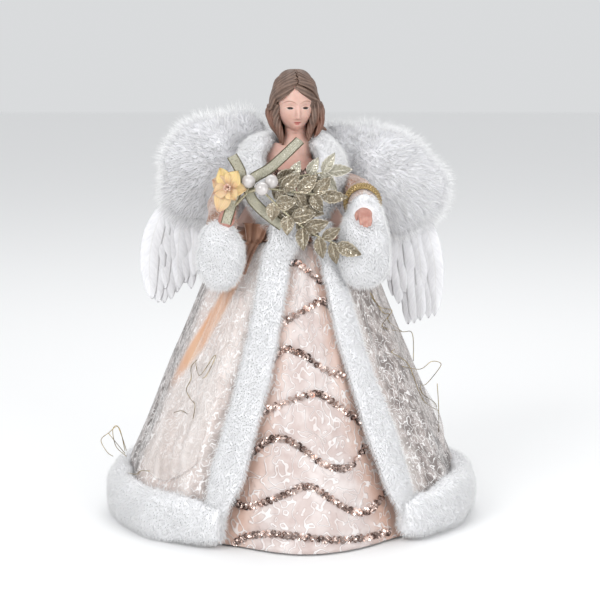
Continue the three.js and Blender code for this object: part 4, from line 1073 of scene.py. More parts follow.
# %% Skirt sheet
underskirt_length = waist - foot
satin_thickness = 0.9 * mm
hem_ease, gather_extra, gather_share = 5 * mm, 12 * mm, 1.07
gather_depth, gather_angle, gather_length = 1.0 * mm, 3.1, 60 * mm
warm_from, warm_spread = 7, 9


def pleats(angle, z):
    """Small gathers that run down from the waist and fade below."""
    gather = noise.noise(Vector((angle / gather_angle, 0, z / gather_length)))
    return (gather - 0.6) * gather_depth * (0.4 + 0.6 * rise(z))


def underskirt():
    def spot(u, v):
        return lerp(-180, 180, u), lerp(foot, waist, v)

    def place(u, v):
        angle, z = spot(u, v)
        return round_body(angle, skirt_line(angle, z) + pleats(angle, z), z)

    def warm_at(u, v):
        angle, z = spot(u, v)
        inside = min(angle - coat_edge("right", z), coat_edge("left", z) - angle)
        return min(max(1 - (inside - warm_from) / warm_spread, 0), 1)

    bm = surface(place, 240, 70, closed=True, paint={"warm": warm_at})
    flat = (2 * math.pi * (hem_radius + hem_ease), underskirt_length * gather_share)
    cloth_size(bm, *flat)
    thicken(bm, satin_thickness)
    obj = piece("underskirt_satin", bm, blush_satin, nodes=["underskirt"])


underskirt()

# %% [markdown]
# ## Sequin strings
# Rose-gold cup sequins are sewn down in two staggered rows, each overlapping the next. One small ring with a
# hole is made once, and copied along a wave between the coat's edges with a little random tilt, because that
# is what makes each of them catch the light differently.

# %% Sequin
sequin_radius, sequin_hole = 1.95 * mm, 0.6 * mm
sequin_sides = 10
sequin_section = [
    # distance from the middle and height of the three corners: the hole, the rim, and under the rim
    (sequin_hole, -0.5 * mm),
    (sequin_radius, 0.15 * mm),
    (sequin_radius * 0.85, -0.25 * mm),
]


def sequin_form():
    """A cup with a hole: a thin slanted section spun round."""
    bm = bmesh.new()
    corners = [bm.verts.new((x, 0, z)) for x, z in sequin_section]
    edges = [bm.edges.new((corners[i], corners[(i + 1) % 3])) for i in range(3)]
    turn = {"cent": (0, 0, 0), "axis": (0, 0, 1), "angle": 2 * math.pi, "steps": sequin_sides}
    bmesh.ops.spin(bm, geom=corners + edges, use_merge=True, **turn)
    bmesh.ops.remove_doubles(bm, verts=bm.verts, dist=same_place)
    bmesh.ops.recalc_face_normals(bm, faces=bm.faces)
    mesh = bpy.data.meshes.new("sequin")
    bm.to_mesh(mesh)
    bm.free()
    return mesh


sequin = sequin_form()
rose_gold, nodes, shader = new_finish("rose_gold_sequin", 0.16, metallic=0.9)
nodes.put(shader["Base Color"], nodes.mix(nodes.attribute("tint"), "66544e", "f6dfd5"))
nodes.put(shader["Roughness"], nodes.ease(nodes.noise(0.8 * mm), 0.3, 0.8, 0.08, 0.3))


def sew_sequin(bm, place, out, dice, tilt):
    """Adds a sequin that lies on a surface with a random tilt, and gives its points a random tint."""
    way = (out + Vector([dice.uniform(-tilt, tilt) for i in range(3)])).normalized()
    matrix = Matrix.Translation(place) @ way.to_track_quat("Z", "Y").to_matrix().to_4x4()
    tint = point_values(bm, "tint")
    start = len(bm.verts)
    bm.from_mesh(sequin)
    bm.verts.ensure_lookup_table()
    fresh = bm.verts[start:]
    bmesh.ops.transform(bm, matrix=matrix, verts=fresh)
    shade = dice.random()
    for v in fresh:
        v[tint] = shade


# %% Sequin rows
sequin_rows = [
    # the way of each string: angle in degrees and height in mm
    [(-19, 4), (-14, 9), (-5, 12.5), (5, 11.5), (16, 8.5), (27, 7), (37, 6)],
    [(-28, 40), (-22.4, 29), (-16, 26.3), (-8, 31), (-1, 37), (6, 41.5), (13, 34), (20, 25), (27, 22),
     (33, 25), (42, 34)],
    [(-21, 50), (-14.6, 60), (-10, 66.6), (-6, 69), (-1, 68.5), (5, 63), (11, 55), (17, 50.6),
     (23, 50.6), (32, 60)],
    [(-16, 80), (-9.5, 86), (2.3, 93.7), (11.7, 96), (17, 92), (25, 83), (31, 76)],
    [(-9, 116), (-3.4, 123), (3.7, 121.3), (9, 117.6), (18.7, 108.3), (30, 104)],
    [(-3, 140), (9, 147.4), (20.5, 151.7), (27, 143)],
    [(0, 176), (5.3, 175.5), (12.3, 170.6), (22, 162)],
]
sequin_step = 1.75 * mm
row_half_width = 0.7 * mm
sewing_slip, sewing_slack = 0.25 * mm, 0.5 * mm


def sequin_row(number):
    places = [Vector((angle, z * mm)) for angle, z in sequin_rows[number]]
    line = spline(places)
    dice = Random(61 + number)
    bm = bmesh.new()

    def on_skirt(spot, lift=0.0):
        return round_body(spot.x, skirt_line(spot.x, spot.y) + satin_thickness + lift, spot.y)

    steps = 200
    length = sum((on_skirt(line(i / steps)) - on_skirt(line((i + 1) / steps))).length for i in range(steps))
    count = int(length / sequin_step)
    for i in range(count):
        spot = line((i + 0.5) / count)
        spot.y += row_half_width * (1 if i % 2 else -1) + dice.uniform(-sewing_slip, sewing_slip)
        place = on_skirt(spot, dice.uniform(0, sewing_slack))
        sew_sequin(bm, place, outward(spot.x) + Vector((0, 0, 0.3)), dice, 0.6)
    nodes = [f"sequin_row_{number + 1}"]
    piece(f"sequins_{number + 1}", bm, rose_gold, nodes=nodes, smooth=False)


for number in range(len(sequin_rows)):
    sequin_row(number)

# %% [markdown]
# ## Brocade coat
# The coat is brocade with a dense white lace scroll on a ground of silver grey and pink. On the figure's
# right the lace leaves a plain fold of peach satin free. Where that lies is painted on the sheet's points
# as `peach`, and `grey` says how far the ground turns from pink to silver.

# %% Brocade finish
brocade, nodes, shader = new_finish("silver_lace_brocade", 0.5, Sheen_Weight=0.4, Sheen_Roughness=0.4)
cloth_map = nodes.cloth_place()
peach = nodes.attribute("peach")
grey = nodes.attribute("grey")
large = nodes.group(scrolls, Vector=cloth_map, Size=8 * mm, Lines=3.8, Width=0.34 * mm, Curl=1.8)
small = nodes.group(scrolls, Vector=cloth_map, Size=3.5 * mm, Lines=2.0, Width=0.18 * mm, Curl=1.2)
patch = nodes.ease(nodes.noise(9 * mm, 3, where=cloth_map), 0.42, 0.58)
plain = nodes.ease(peach, 0.3, 0.8)
lace = nodes.math("MAXIMUM", large["Line"], nodes.math("MULTIPLY", small["Line"], patch))
laced = nodes.math("SUBTRACT", 1.0, plain)
lace = nodes.math("MULTIPLY", lace, laced)
folds = nodes.group(soft_folds, Vector=nodes.place(), Size=20 * mm)
# painted light and shade of the soft folds on the pink ground, and below on the peach fold
pink = nodes.mix(folds["Shade"], "dccdc7", "ede5e1")
silver = nodes.mix(patch, "665b57", "8f8481")
greyed = nodes.math("MULTIPLY", grey, nodes.math("MULTIPLY_ADD", patch, -0.2, 1.0))
ground = nodes.mix(greyed, pink, silver)
ground = nodes.mix(plain, ground, nodes.mix(folds["Shade"], "cf9e7c", "dcb596"))
nodes.put(shader["Base Color"], nodes.mix(nodes.math("MULTIPLY", lace, 0.95), ground, "f2efee"))
nodes.put(shader["Metallic"], nodes.math("MULTIPLY", greyed, 0.2))
nodes.put(shader["Roughness"], nodes.math("MULTIPLY_ADD", lace, 0.1, 0.4))
thread = nodes.group(weave, Vector=cloth_map, Spacing=thread_spacing)["Height"]
raised = nodes.math("MULTIPLY", nodes.math("MAXIMUM", large["Height"], small["Height"]), laced)
relief = nodes.bump(raised, 0.25 * mm, nodes.bump(thread, thread_depth))
nodes.put(shader["Normal"], nodes.bump(folds["Height"], 1.2 * mm, relief))

# %% Coat panels
coat_thickness = 1.0 * mm
coat_low = 14 * mm
coat_tuck = hem_radius + 4 * mm
wrinkle_depth, wrinkle_angle, wrinkle_length = 1.2 * mm, 4, 40 * mm
fold_ease_share, wedge_share = 1.1, 0.72
peach_folds = {
    # angle at the top, turn in degrees per mm further down, spread in degrees, lowest point
    "right": (-45, -0.36, 7.5, 70 * mm),
    "left": (32, 0.05, 2, 20 * mm),
}
peach_top, peach_fade = 153 * mm, 50 * mm
grey_shares = {"right": 0.2, "left": 0.85, "back": 0.8}
grey_side_angle, grey_side_fade = 60, 10
pink_edge = 16
grey_edges = {"right": 1.3, "left": 0.0}


def coat_panel(name, start, end):
    """A panel between two lines, each given as a function of the height."""

    def spot(u, v):
        z = lerp(coat_low, waist, v)
        return lerp(start(z), end(z), u), z

    def place(u, v):
        angle, z = spot(u, v)
        wrinkle = wrinkle_depth * noise.noise(Vector((angle / wrinkle_angle, z / wrinkle_length, 3)))
        wrinkle *= 1 - 0.5 * rise(z)
        radius = coat_line(angle, max(z, coat_foot)) + coat_thickness / 2 + wrinkle
        tuck = min(max((coat_foot - z) / (coat_foot - coat_low), 0), 1)
        return round_body(angle, lerp(radius, coat_tuck, tuck), z)

    def peach_at(u, v):
        if name not in peach_folds:
            return 0
        angle, z = spot(u, v)
        middle, slant, spread, foot = peach_folds[name]
        middle += slant * (peach_top - z) / mm
        above = min(max((z - foot) / peach_fade, 0), 1)
        return math.exp(-(((angle - middle) / spread) ** 2)) * above

    def grey_at(u, v):
        angle, z = spot(u, v)
        past = min(max((abs(angle) - grey_side_angle) / grey_side_fade, 0), 1)
        inside = min(abs(angle - coat_edge(name, z)) / pink_edge, 1) if name in grey_edges else 1
        strip = min(grey_edges.get(name, 0) * (1 - inside), 1)
        return max(grey_shares[name] * inside**2, strip, past)

    bm = surface(place, 90, 60, paint={"peach": peach_at, "grey": grey_at})
    arc = abs(end(coat_foot) - start(coat_foot)) * degree * (hem_radius + coat_spread + fold_depth)
    flat = (arc, (waist - coat_low) * fold_ease_share)
    cloth_size(bm, *flat)
    thicken(bm, coat_thickness)
    nodes = [f"coat_{name}_panel"]
    obj = piece(f"coat_{name}_brocade", bm, brocade, nodes=nodes)


coat_panel("right", lambda z: -seam_angle, lambda z: coat_edge("right", z))
coat_panel("left", lambda z: coat_edge("left", z), lambda z: seam_angle)
coat_panel("back", lambda z: seam_angle, lambda z: 360 - seam_angle)

# %% [markdown]
# ## Head
# Head, neck and chest are one resin casting. We join two closed forms, a skull and a tube for the neck and
# chest, remesh them into one even skin, and then push the features of a plain doll's face out of it and into
# it, each as a soft round dent or swelling.
# Every feature is a row in a short list, so the face can be tuned by eye. The head is turned a little to the
# figure's left, and the turn fades down the neck.

# %% Skin
skull_middle = Vector((2.5, -2, 277)) * mm
skull_half = Vector((12.2, 15, 18.6)) * mm
head_turn = 10 * degree
eye_line = 273.3 * mm
neck_stations = [
    # place, half width and half depth, in mm
    ((0, 0, 229), 25, 20),
    ((0, 0, 233), 23.6, 18.2),
    ((0.3, 0, 238), 20.2, 14.6),
    ((1.2, -0.2, 242.5), 15.5, 11),
    ((2.8, 0.2, 247), 10.8, 8.0),
    ((3.8, 1, 255), 7.6, 6.5),
    ((3.4, 0.6, 266), 7.4, 6.8),
]
turn_from, turn_height = 246 * mm, 12 * mm
face_rim, face_foot = 8 * mm, -17
skin_voxel = 0.5 * mm

features = [
    # across, up from the eye line, half width, half height, push forward, in mm; each is made on both sides
    (5.3, 1.0, 3.6, 2.0, -1.5),
    (5.3, -0.3, 2.4, 1.2, 1.0),
    (5.2, 4.0, 4.2, 1.4, 0.5),
    (1.8, -6.7, 1.1, 0.9, 1.1),
    (0.0, -10.0, 4.4, 3.0, 0.6),
    (0.0, -9.4, 2.6, 0.5, 0.35),
    (0.0, -10.1, 2.7, 0.35, -0.55),
    (0.0, -11.0, 2.0, 0.65, 0.4),
    (0.0, -12.6, 2.2, 0.9, -0.4),
    (0.0, -14.2, 4.0, 2.6, 1.7),
    (6.8, -6.0, 3.6, 3.6, 0.6),
    (8.6, -11.0, 3.0, 3.0, -0.5),
]
nose_top, nose_tip, nose_push = 2.5, -6.4, 3.6
chin_drop = 1.8 * mm


def face_push(x, z):
    """How far the face stands forward of the plain egg, in mm, at a place across and up from the eye line."""
    push = 0
    for across, up, wide, high, forward in features:
        for side in (1, -1) if across else (1,):
            push += forward * math.exp(-(((x - across * side) / wide) ** 2) - ((z - up) / high) ** 2)
    t = (nose_top - z) / (nose_top - nose_tip)
    ridge = lerp(0.5, nose_push, max(t, 0) ** 1.4) if t < 1 else nose_push
    fade = math.exp(-((min(t, 0) / 0.25) ** 2)) * math.exp(-((max(t - 1, 0) / 0.13) ** 2))
    return push + ridge * fade * math.exp(-((x / lerp(1.2, 1.7, min(max(t, 0), 1))) ** 2))


def remeshed(bm, voxel, smooth):
    """One even skin over the joined closed forms, smoothed a few times."""
    mesh = bpy.data.meshes.new("joined")
    bm.to_mesh(mesh)
    bm.free()
    obj = bpy.data.objects.new("joined", mesh)
    scene.collection.objects.link(obj)
    skin = obj.modifiers.new("skin", "REMESH")
    skin.mode = "VOXEL"
    skin.voxel_size = voxel
    made = bmesh.new()
    made.from_mesh(obj.evaluated_get(bpy.context.evaluated_depsgraph_get()).to_mesh())
    bpy.data.objects.remove(obj)
    every_way = {"use_axis_x": True, "use_axis_y": True, "use_axis_z": True}
    for i in range(smooth):
        bmesh.ops.smooth_vert(made, verts=made.verts, factor=0.5, **every_way)
    return made


def head_form():
    bm = bmesh.new()
    bmesh.ops.create_uvsphere(bm, u_segments=48, v_segments=36, radius=1)
    for v in bm.verts:
        n = v.co.copy()
        jaw = 1 + 0.04 * max(-n.z, 0) ** 2 * (1 if n.y < 0 else 0)
        flat = 1 - 0.06 * max(-n.y, 0) ** 4
        x, y = n.x * skull_half.x * jaw, n.y * skull_half.y * flat
        v.co = skull_middle + Vector((x, y, n.z * skull_half.z))
    points = [Vector(place) * mm for place, width, depth in neck_stations]
    widths = [width * mm for place, width, depth in neck_stations]
    depths = [depth * mm for place, width, depth in neck_stations]
    tube(points, widths, depths, sides=40, steps=24, facing=(0, 1, 0), form=bm)
    bm = remeshed(bm, skin_voxel, 4)
    face = bm.verts.layers.float_vector.new("face")
    for v in bm.verts:
        x, z = (v.co.x - skull_middle.x) / mm, (v.co.z - eye_line) / mm
        front = min(max((skull_middle.y - v.co.y) / face_rim, 0), 1)
        if z > face_foot:
            v.co.y -= face_push(x, z) * mm * front
            v.co.z -= chin_drop * front * math.exp(-((x / 5.5) ** 2) - ((z + 14) / 4) ** 2)
        v[face] = Vector((v.co.x - skull_middle.x, v.co.y, v.co.z - eye_line))
        up = min(max((v.co.z - turn_from) / turn_height, 0), 1)
        around = Matrix.Rotation(head_turn * up, 3, "Z")
        v.co = skull_middle + around @ (v.co - skull_middle)
    return bm


# %% [markdown]
# The face is painted, not cut: dark eyes that look down, a fine line for each lid and brow, rose lips and a
# little rouge, with painted shade in the lid creases, beside the nose, under the chin and down the neck.
# `painted_mark` is one soft-edged stroke, an ellipse that can be arched, measured on the `face` values that
# the sculpting stored. The material lays a row of such strokes over a mottled skin colour.

# %% Painted skin
inputs = {"Vector": None, "Middle": None, "Width": mm, "Height": mm, "Arch": 0.0, "Softness": 0.3}
painted_mark, nodes, given, made = new_group("painted_mark", inputs, ["Mask"])
offset = nodes.parts(nodes.vector("SUBTRACT", given["Vector"], given["Middle"]))
across = nodes.math("DIVIDE", offset[0], given["Width"])
bent = nodes.math("MULTIPLY_ADD", nodes.math("MULTIPLY", across, across), given["Arch"], offset[2])
up = nodes.math("DIVIDE", bent, given["Height"])
squares = [nodes.math("MULTIPLY", part, part) for part in (across, up)]
reach = nodes.math("SQRT", nodes.math("ADD", *squares))
ends = [nodes.math(operation, 1.0, given["Softness"]) for operation in ("SUBTRACT", "ADD")]
nodes.put(made["Mask"], nodes.math("SUBTRACT", 1.0, nodes.ease(reach, *ends)))

mottle, nodes, given, made = new_group("mottle", {"Vector": None, "Size": 4 * mm}, ["Shade", "Grain"])
nodes.put(made["Shade"], nodes.ease(nodes.noise_group(given, 3.0), 0.3, 0.7))
inputs = {"Vector": given["Vector"], "Scale": nodes.math("DIVIDE", 12.0, given["Size"]), "Detail": 2.0}
nodes.put(made["Grain"], nodes.add("ShaderNodeTexNoise", inputs).outputs["Fac"])


def mottled_finish(name, roughness, size, dark, light, shine=None, relief=None, **sockets):
    """Two tones in soft blotches. shine is the least and most roughness, relief the depth of the grain."""
    material, nodes, shader = new_finish(name, roughness, **sockets)
    blotch = nodes.group(mottle, Vector=nodes.place(), Size=size)
    nodes.put(shader["Base Color"], nodes.mix(blotch["Shade"], dark, light))
    if shine:
        nodes.put(shader["Roughness"], nodes.ease(blotch["Grain"], 0.3, 0.7, *shine))
    if relief:
        nodes.put(shader["Normal"], nodes.bump(blotch["Grain"], relief))
    return material


resin_grain = 0.08 * mm
# heights below the eye line over which painted shade darkens the neck
throat_shade = (-40 * mm, -28 * mm)
painted_strokes = [
    # across, up, half width, half height, arch, softness (mm), strength, colour; each is made on both sides
    (7.0, -6.5, 4.2, 3.6, 0.0, 0.7, 0.2, "c98b7b"),
    (0.0, -13.5, 4.5, 3.0, 0.0, 0.7, 0.3, "cf8f80"),
    # painted shadow under the chin, on the neck
    (0.0, -19.2, 7.0, 2.0, 0.0, 0.6, 0.3, "b9806f"),
    # painted shade along each lid's crease
    (5.3, 1.9, 3.1, 0.3, 0.8, 0.7, 0.4, "a07766"),
    (5.3, -0.35, 2.5, 0.75, -0.3, 0.35, 0.85, "dccdc4"),
    (5.1, 0.0, 1.85, 0.85, 0.1, 0.2, 1.0, "0c0705"),
    # painted shade beside the nose
    (1.7, -3.2, 0.6, 3.6, 0.0, 0.7, 0.3, "a8796a"),
    (5.25, 0.62, 2.7, 0.24, 0.8, 0.5, 0.75, "5a3a2e"),
    (5.6, 4.6, 3.7, 0.34, 1.3, 0.7, 0.75, "85604f"),
    (0.0, -9.6, 2.5, 0.5, -0.3, 0.35, 0.95, "9c4a44"),
    (0.0, -10.8, 1.8, 0.55, -0.4, 0.4, 0.85, "bb6c64"),
]
resin = {"Subsurface_Weight": 0.12, "Subsurface_Scale": 2 * mm}
skin, nodes, shader = new_finish("painted_resin_skin", 0.48, **resin)
face = nodes.attribute("face", "Vector")
blotch = nodes.group(mottle, Vector=nodes.place(), Size=6 * mm)
color = nodes.mix(blotch["Shade"], "c8a295", "d2aea1")
# painted shade, darker down the neck towards the chest
color = nodes.mix(nodes.ease(nodes.parts(face)[2], *throat_shade, 0.5, 0), color, "b47f72")
for x, z, wide, high, arch, softness, strength, tone in painted_strokes:
    for side in (1, -1) if x else (1,):
        sizes = {"Width": wide * mm, "Height": high * mm, "Arch": arch * mm, "Softness": softness}
        middle = (x * side * mm, 0, z * mm)
        mask = nodes.group(painted_mark, Vector=face, Middle=middle, **sizes)["Mask"]
        color = nodes.mix(nodes.math("MULTIPLY", mask, strength), color, tone)
nodes.put(shader["Base Color"], color)
nodes.put(shader["Roughness"], nodes.ease(blotch["Grain"], 0.3, 0.7, 0.4, 0.55))
nodes.put(shader["Normal"], nodes.bump(blotch["Grain"], resin_grain))

piece("head_casting", head_form(), skin, nodes=["head"])

# %% [markdown]
# ## Hair
# The hair is cast with the head and painted brown, with painted shade in its grooves and painted light on
# the crests between them. A cap covers the skull, and waved locks run from the centre parting over it, bulge
# at the ears and curl in at the neck. Each lock is a tube whose section has a few lobes, which twist along it
# and read as combed strands.

# %% Hair finish
lock_lobes, lobe_depth, lock_depth_share = 5, 0.13, 0.75
hair_paint, nodes, shader = new_finish("painted_hair", 0.5)
groove = nodes.attribute("groove")
reddish = nodes.math("MULTIPLY", nodes.attribute("red"), 0.6)
blotch = nodes.group(mottle, Vector=nodes.place(), Size=5 * mm)
# painted shade in the lobes' grooves and painted light on their crests, with random blotches
brown = nodes.mix(nodes.blend(blotch["Shade"], groove, 0.4), "47362d", "80685b")
nodes.put(shader["Base Color"], nodes.mix(reddish, brown, "80523f"))
nodes.put(shader["Roughness"], nodes.ease(groove, 0, 1, 0.62, 0.42))
nodes.put(shader["Normal"], nodes.bump(blotch["Grain"], 0.1 * mm))


# %% Locks
lock_power, dome_power = 0.88, 0.66


def on_skull(around, up, off):
    """A place off the skull, by the angle round it from the face and the angle up, in degrees."""
    a, e = around * degree, up * degree
    half = skull_half + Vector((off, off, off))
    aside = math.sin(a) * math.cos(e)
    aside = math.copysign(abs(aside) ** lock_power, aside)
    spot = Vector((half.x * aside, -half.y * math.cos(a) * math.cos(e), half.z * math.sin(e)))
    return skull_middle + Matrix.Rotation(head_turn, 3, "Z") @ spot


def hanging(around, z, off):
    """A place below the ears, as far out as the skull is wide."""
    a = around * degree
    half = skull_half + Vector((off, off, off))
    return Vector((skull_middle.x + half.x * math.sin(a), skull_middle.y - half.y * math.cos(a), z))


def front_place(x, z, off):
    """A place on the front half of the skull, or beside it, as it is seen from the front, in mm."""
    half = skull_half / mm
    side, up = (x - skull_middle.x / mm) / half.x, (z - skull_middle.z / mm) / half.z
    depth = math.sqrt(max(1 - side * side - up * up, 0))
    return Vector((x * mm, skull_middle.y - (half.y * depth * 0.94 + off) * mm, z * mm))


def lock(bm, points, radii, turns, red):
    """Adds one lock, whose radii are in mm. It twists by a share of a turn, and reddens towards its end."""
    line = spline(points)

    def lobes(u):
        return math.cos(lock_lobes * 2 * math.pi * u)

    def facing(v):
        return line(v) - skull_middle + Vector((0, 0, 0.1 * mm))

    def ridge(u, v):
        return 1 + lobe_depth * lobes(u)

    paint = {
        "groove": lambda u, v: 0.5 + 0.5 * lobes(u),
        "red": lambda u, v: red * min(max((v - 0.4) / 0.25, 0), 1),
    }
    widths = [r * mm for r in radii]
    depths = [w * lock_depth_share for w in widths]
    tube(points, widths, depths, 30, 44, facing, bm, turns, ridge, paint)


locks_each_side = 11
hang_turns = [1.05, 1.05, 1.0, 0.95, 0.86]
hang_offs = {
    # height of each place of a lock below the ear and its distance off the skull, in mm, for each side
    -1: [(271, 3.9), (266.5, 4.1), (261.5, 2.0), (256, -2.0), (249, -3.6)],
    1: [(272, 5.3), (266, 5.2), (261, 4.2), (257, 2.6), (253.5, 0.6)],
}
hairline_locks = {
    # the front lock of each side frames the face: across, height and distance off the skull, in mm
    -1: [(1.6, 287.6, 1), (-2.6, 284.6, 1), (-6.8, 281, 1.2), (-10.2, 277.2, 1.6), (-10.9, 272.5, 1.6),
         (-11.8, 267.8, 1.8), (-9.6, 262.6, 1.2), (-7.4, 257.4, 1.0), (-6.4, 252, 1.2), (-7.2, 247.8, 1.2)],
    1: [(3.4, 287.6, 1), (7.8, 285, 1), (12.2, 281.6, 1.2), (16, 278, 1.6), (17.6, 273.6, 1.6),
        (17.2, 268.6, 1.8), (16, 263.6, 1.2), (13.2, 259.4, 1.0), (12.2, 255.8, 1.2), (13.4, 252.6, 1.2)],
}
inner_locks = 5
part_angles = (30, 152)
lock_radii = [1.6, 2.9, 2.8, 2.8, 2.9, 3.0, 2.8, 2.4, 0.7]
inner_radii = [2.4, 3.0, 3.1, 2.6, 0.6]
cap_half, cap_shift, cap_groove = Vector((14, 15.4, 19.2)) * mm, Vector((0, 3.8, 2.0)) * mm, 0.55


def hair():
    bm = bmesh.new()
    bmesh.ops.create_uvsphere(bm, u_segments=48, v_segments=32, radius=1)
    turn = Matrix.Rotation(head_turn, 3, "Z")
    groove = point_values(bm, "groove")
    for v in bm.verts:
        v[groove] = cap_groove
        aside = math.copysign(abs(v.co.x) ** dome_power, v.co.x)
        spot = Vector((aside * cap_half.x, v.co.y * cap_half.y, v.co.z * cap_half.z))
        v.co = skull_middle + cap_shift + turn @ spot
    for side in (-1, 1):
        fuller = side > 0
        for k in range(locks_each_side):
            f = k / (locks_each_side - 1)
            sway = 1.4 * mm * math.sin(k * 2.4 + side)
            part = lerp(*part_angles, f)
            top = on_skull(0, part, 0.6 * mm) if part < 90 else on_skull(180, 180 - part, 0.9 * mm)
            around = lerp(76, 174, f) * side
            curl = 0.8 * math.sin(k * 1.9 + side)
            slim = 0.95 if k == 0 else 1
            points = [
                top + Vector((side * 0.4 * mm, 0, 0.6 * mm)),
                on_skull(around * lerp(0.45, 0.85, f), lerp(28, 50, f), 1.5 * mm),
                on_skull(around * lerp(0.9, 0.97, f), lerp(8, 26, f), 1.7 * mm),
                on_skull(around * 1.02, lerp(-8, 2, f), (3.6 if fuller else 2.9) * mm),
            ]
            for z, off in hang_offs[side]:
                in_turn = around * share(hang_turns, (271 - z) / 22)
                points.append(hanging(in_turn, z * mm + sway, (off + curl) * mm))
            if k == 3 and fuller:
                points[-2:] = [hanging(around, 260 * mm, 5.6 * mm), hanging(around, 257.5 * mm, 9.6 * mm)]
            if k == 0:
                points = [front_place(x, z, off) for x, z, off in hairline_locks[side]]
            radii = [r * slim for r in lock_radii]
            lock(bm, points, radii, turns=0.6 * side, red=1.0 if k < 2 else 0.3 if k < 4 else 0.0)
        for k in range(inner_locks):
            around = lerp(74, 150, k / (inner_locks - 1)) * side
            low = (251 if fuller else 248.5) + 1.5 * (k % 2)
            points = [
                on_skull(around, -4, 0.4 * mm),
                hanging(around, 268 * mm, 0.6 * mm),
                hanging(around * 0.97, 262 * mm, -0.4 * mm),
                hanging(around * 0.9, 256 * mm, -2.0 * mm),
                hanging(around * 0.82, low * mm, (-1.6 if fuller else -3.4) * mm),
            ]
            lock(bm, points, inner_radii, turns=0.8 * side, red=0.6)
    bmesh.ops.recalc_face_normals(bm, faces=bm.faces)
    return bm


piece("hair_locks", hair(), hair_paint, nodes=["hair"])

# %% [markdown]
# ## Bodice, sash and sleeves
# The body under the collar is a stuffed tube of satin. A copper satin sash is wound round the waist in soft
# pleats, and one end of it hangs down beside the coat's edge. The sleeves are stuffed tubes of the coat's
# cloth in a warmer colour, wrinkled at the elbow.

# %% Satin finish
satin, nodes, given, made = new_group("satin_ribs", {"Vector": None, "Spacing": 2 * mm}, ["Height", "Shade"])
squeezed = nodes.vector("MULTIPLY", given["Vector"], (1.0, 1.0, 9.0))
inputs = {"Vector": squeezed, "Scale": nodes.math("DIVIDE", 0.1, given["Spacing"]), "Detail": 3.0}
streak = nodes.add("ShaderNodeTexNoise", inputs).outputs["Fac"]
nodes.put(made["Height"], streak)
nodes.put(made["Shade"], nodes.ease(streak, 0.35, 0.65))


def satin_finish(name, dark, light, roughness, metallic):
    material, nodes, shader = new_finish(name, roughness, Sheen_Weight=0.2, Sheen_Roughness=0.3)
    ribs = nodes.group(satin, Vector=nodes.place(), Spacing=2 * mm)
    folds = nodes.group(soft_folds, Vector=nodes.place(), Size=12 * mm)
    # painted light and shade of the soft folds, with a faint share of the ribs' streaks
    both = nodes.blend(ribs["Shade"], folds["Shade"], 0.05)
    nodes.put(shader["Base Color"], nodes.mix(both, dark, light))
    nodes.put(shader["Roughness"], nodes.ease(ribs["Shade"], 0, 1, roughness, roughness + 0.04))
    nodes.put(shader["Metallic"], nodes.math("MULTIPLY", folds["Shade"], metallic))
    relief = nodes.bump(folds["Height"], 1.0 * mm)
    nodes.put(shader["Normal"], nodes.bump(ribs["Height"], 0.05 * mm, relief))
    return material


copper_satin = satin_finish("copper_satin", "6d4c3c", "a98069", roughness=0.22, metallic=0.45)
bodice_satin = satin_finish("bodice_satin", "c79f8f", "dcbcae", roughness=0.35, metallic=0.0)

# %% Bodice and sash
sash_height = 8 * mm
sash_thickness = 4.5 * mm
crease_depth, bodice_inset = 0.7 * mm, 0.5 * mm
pleat_depth, pleat_count = 0.35 * mm, 4
tail_places = [
    # angle, height in mm and distance off the coat
    (-29, 200, 3.0),
    (-29, 192, 5.2),
    (-31.5, 184, 4.4),
    (-32.5, 176, 3.4),
    (-32.5, 168, 2.6),
]
tail_half_angles, tail_thickness = (14, 1), 0.5 * mm
tail_fold, tail_lift = 0.9 * mm, 1.2 * mm


def ring_noise(u, size, v):
    """Noise on a tube that meets itself after one round."""
    turn = u * 2 * math.pi
    return noise.noise(Vector((math.cos(turn) * size, math.sin(turn) * size, v)))


def bodice():
    def place(u, v):
        angle, z = 360 * u, lerp(waist + gap, neckline - gap, v)
        crease = crease_depth * ring_noise(0.25 - u, 3, v * 5)
        return off_body(angle, z, crease - bodice_inset)

    bm = surface(place, 72, 30, closed="capped")
    piece("bodice_stuffed", bm, bodice_satin, nodes=["bodice"])


def sash():
    middle = waist + gap + sash_height / 2
    tail_line = spline(tail_places)

    def place(u, v):
        angle = 360 * u
        turn = v * 2 * math.pi
        pleat = pleat_depth * math.cos(turn * pleat_count + math.sin(angle * degree * 3))
        out = sash_thickness / 2 + (sash_thickness / 2 - 0.2 * mm + pleat) * math.cos(turn)
        return off_body(angle, middle + (sash_height / 2 - 0.4 * mm) * math.sin(turn), gap + out)

    def tail(u, v):
        angle, z, out = tail_line(v)
        around = angle + lerp(*tail_half_angles, v**0.6) * (2 * u - 1)
        fold = tail_fold * math.sin(u * 14 + v * 2) * (1 - 0.6 * v)
        z = z * mm
        line = coat_line(around, z) if z < waist else body_stations[0][1]
        return round_body(around, line + out * mm * 0.6 + tail_lift + fold, z)

    bm = surface(place, 120, 32, closed=True)
    join_form(bm, thicken(surface(tail, 16, 40), tail_thickness))
    bmesh.ops.recalc_face_normals(bm, faces=bm.faces)
    piece("waist_sash_pleated", bm, copper_satin, nodes=["waist_sash"])


bodice()
sash()

# %% [markdown]
# The neckline is a frill of the same rose-gold sequins as the skirt, heaped on a wavy band of copper satin.

# %% Neckline
frill_half_angle, frill_half_height = 46, 4.5 * mm
frill_low, frill_high = neckline - frill_half_height, neckline + frill_half_height
frill_wave, frill_lift, frill_thickness = 1.1 * mm, 1.3 * mm, 0.6 * mm
frill_sequins = 150


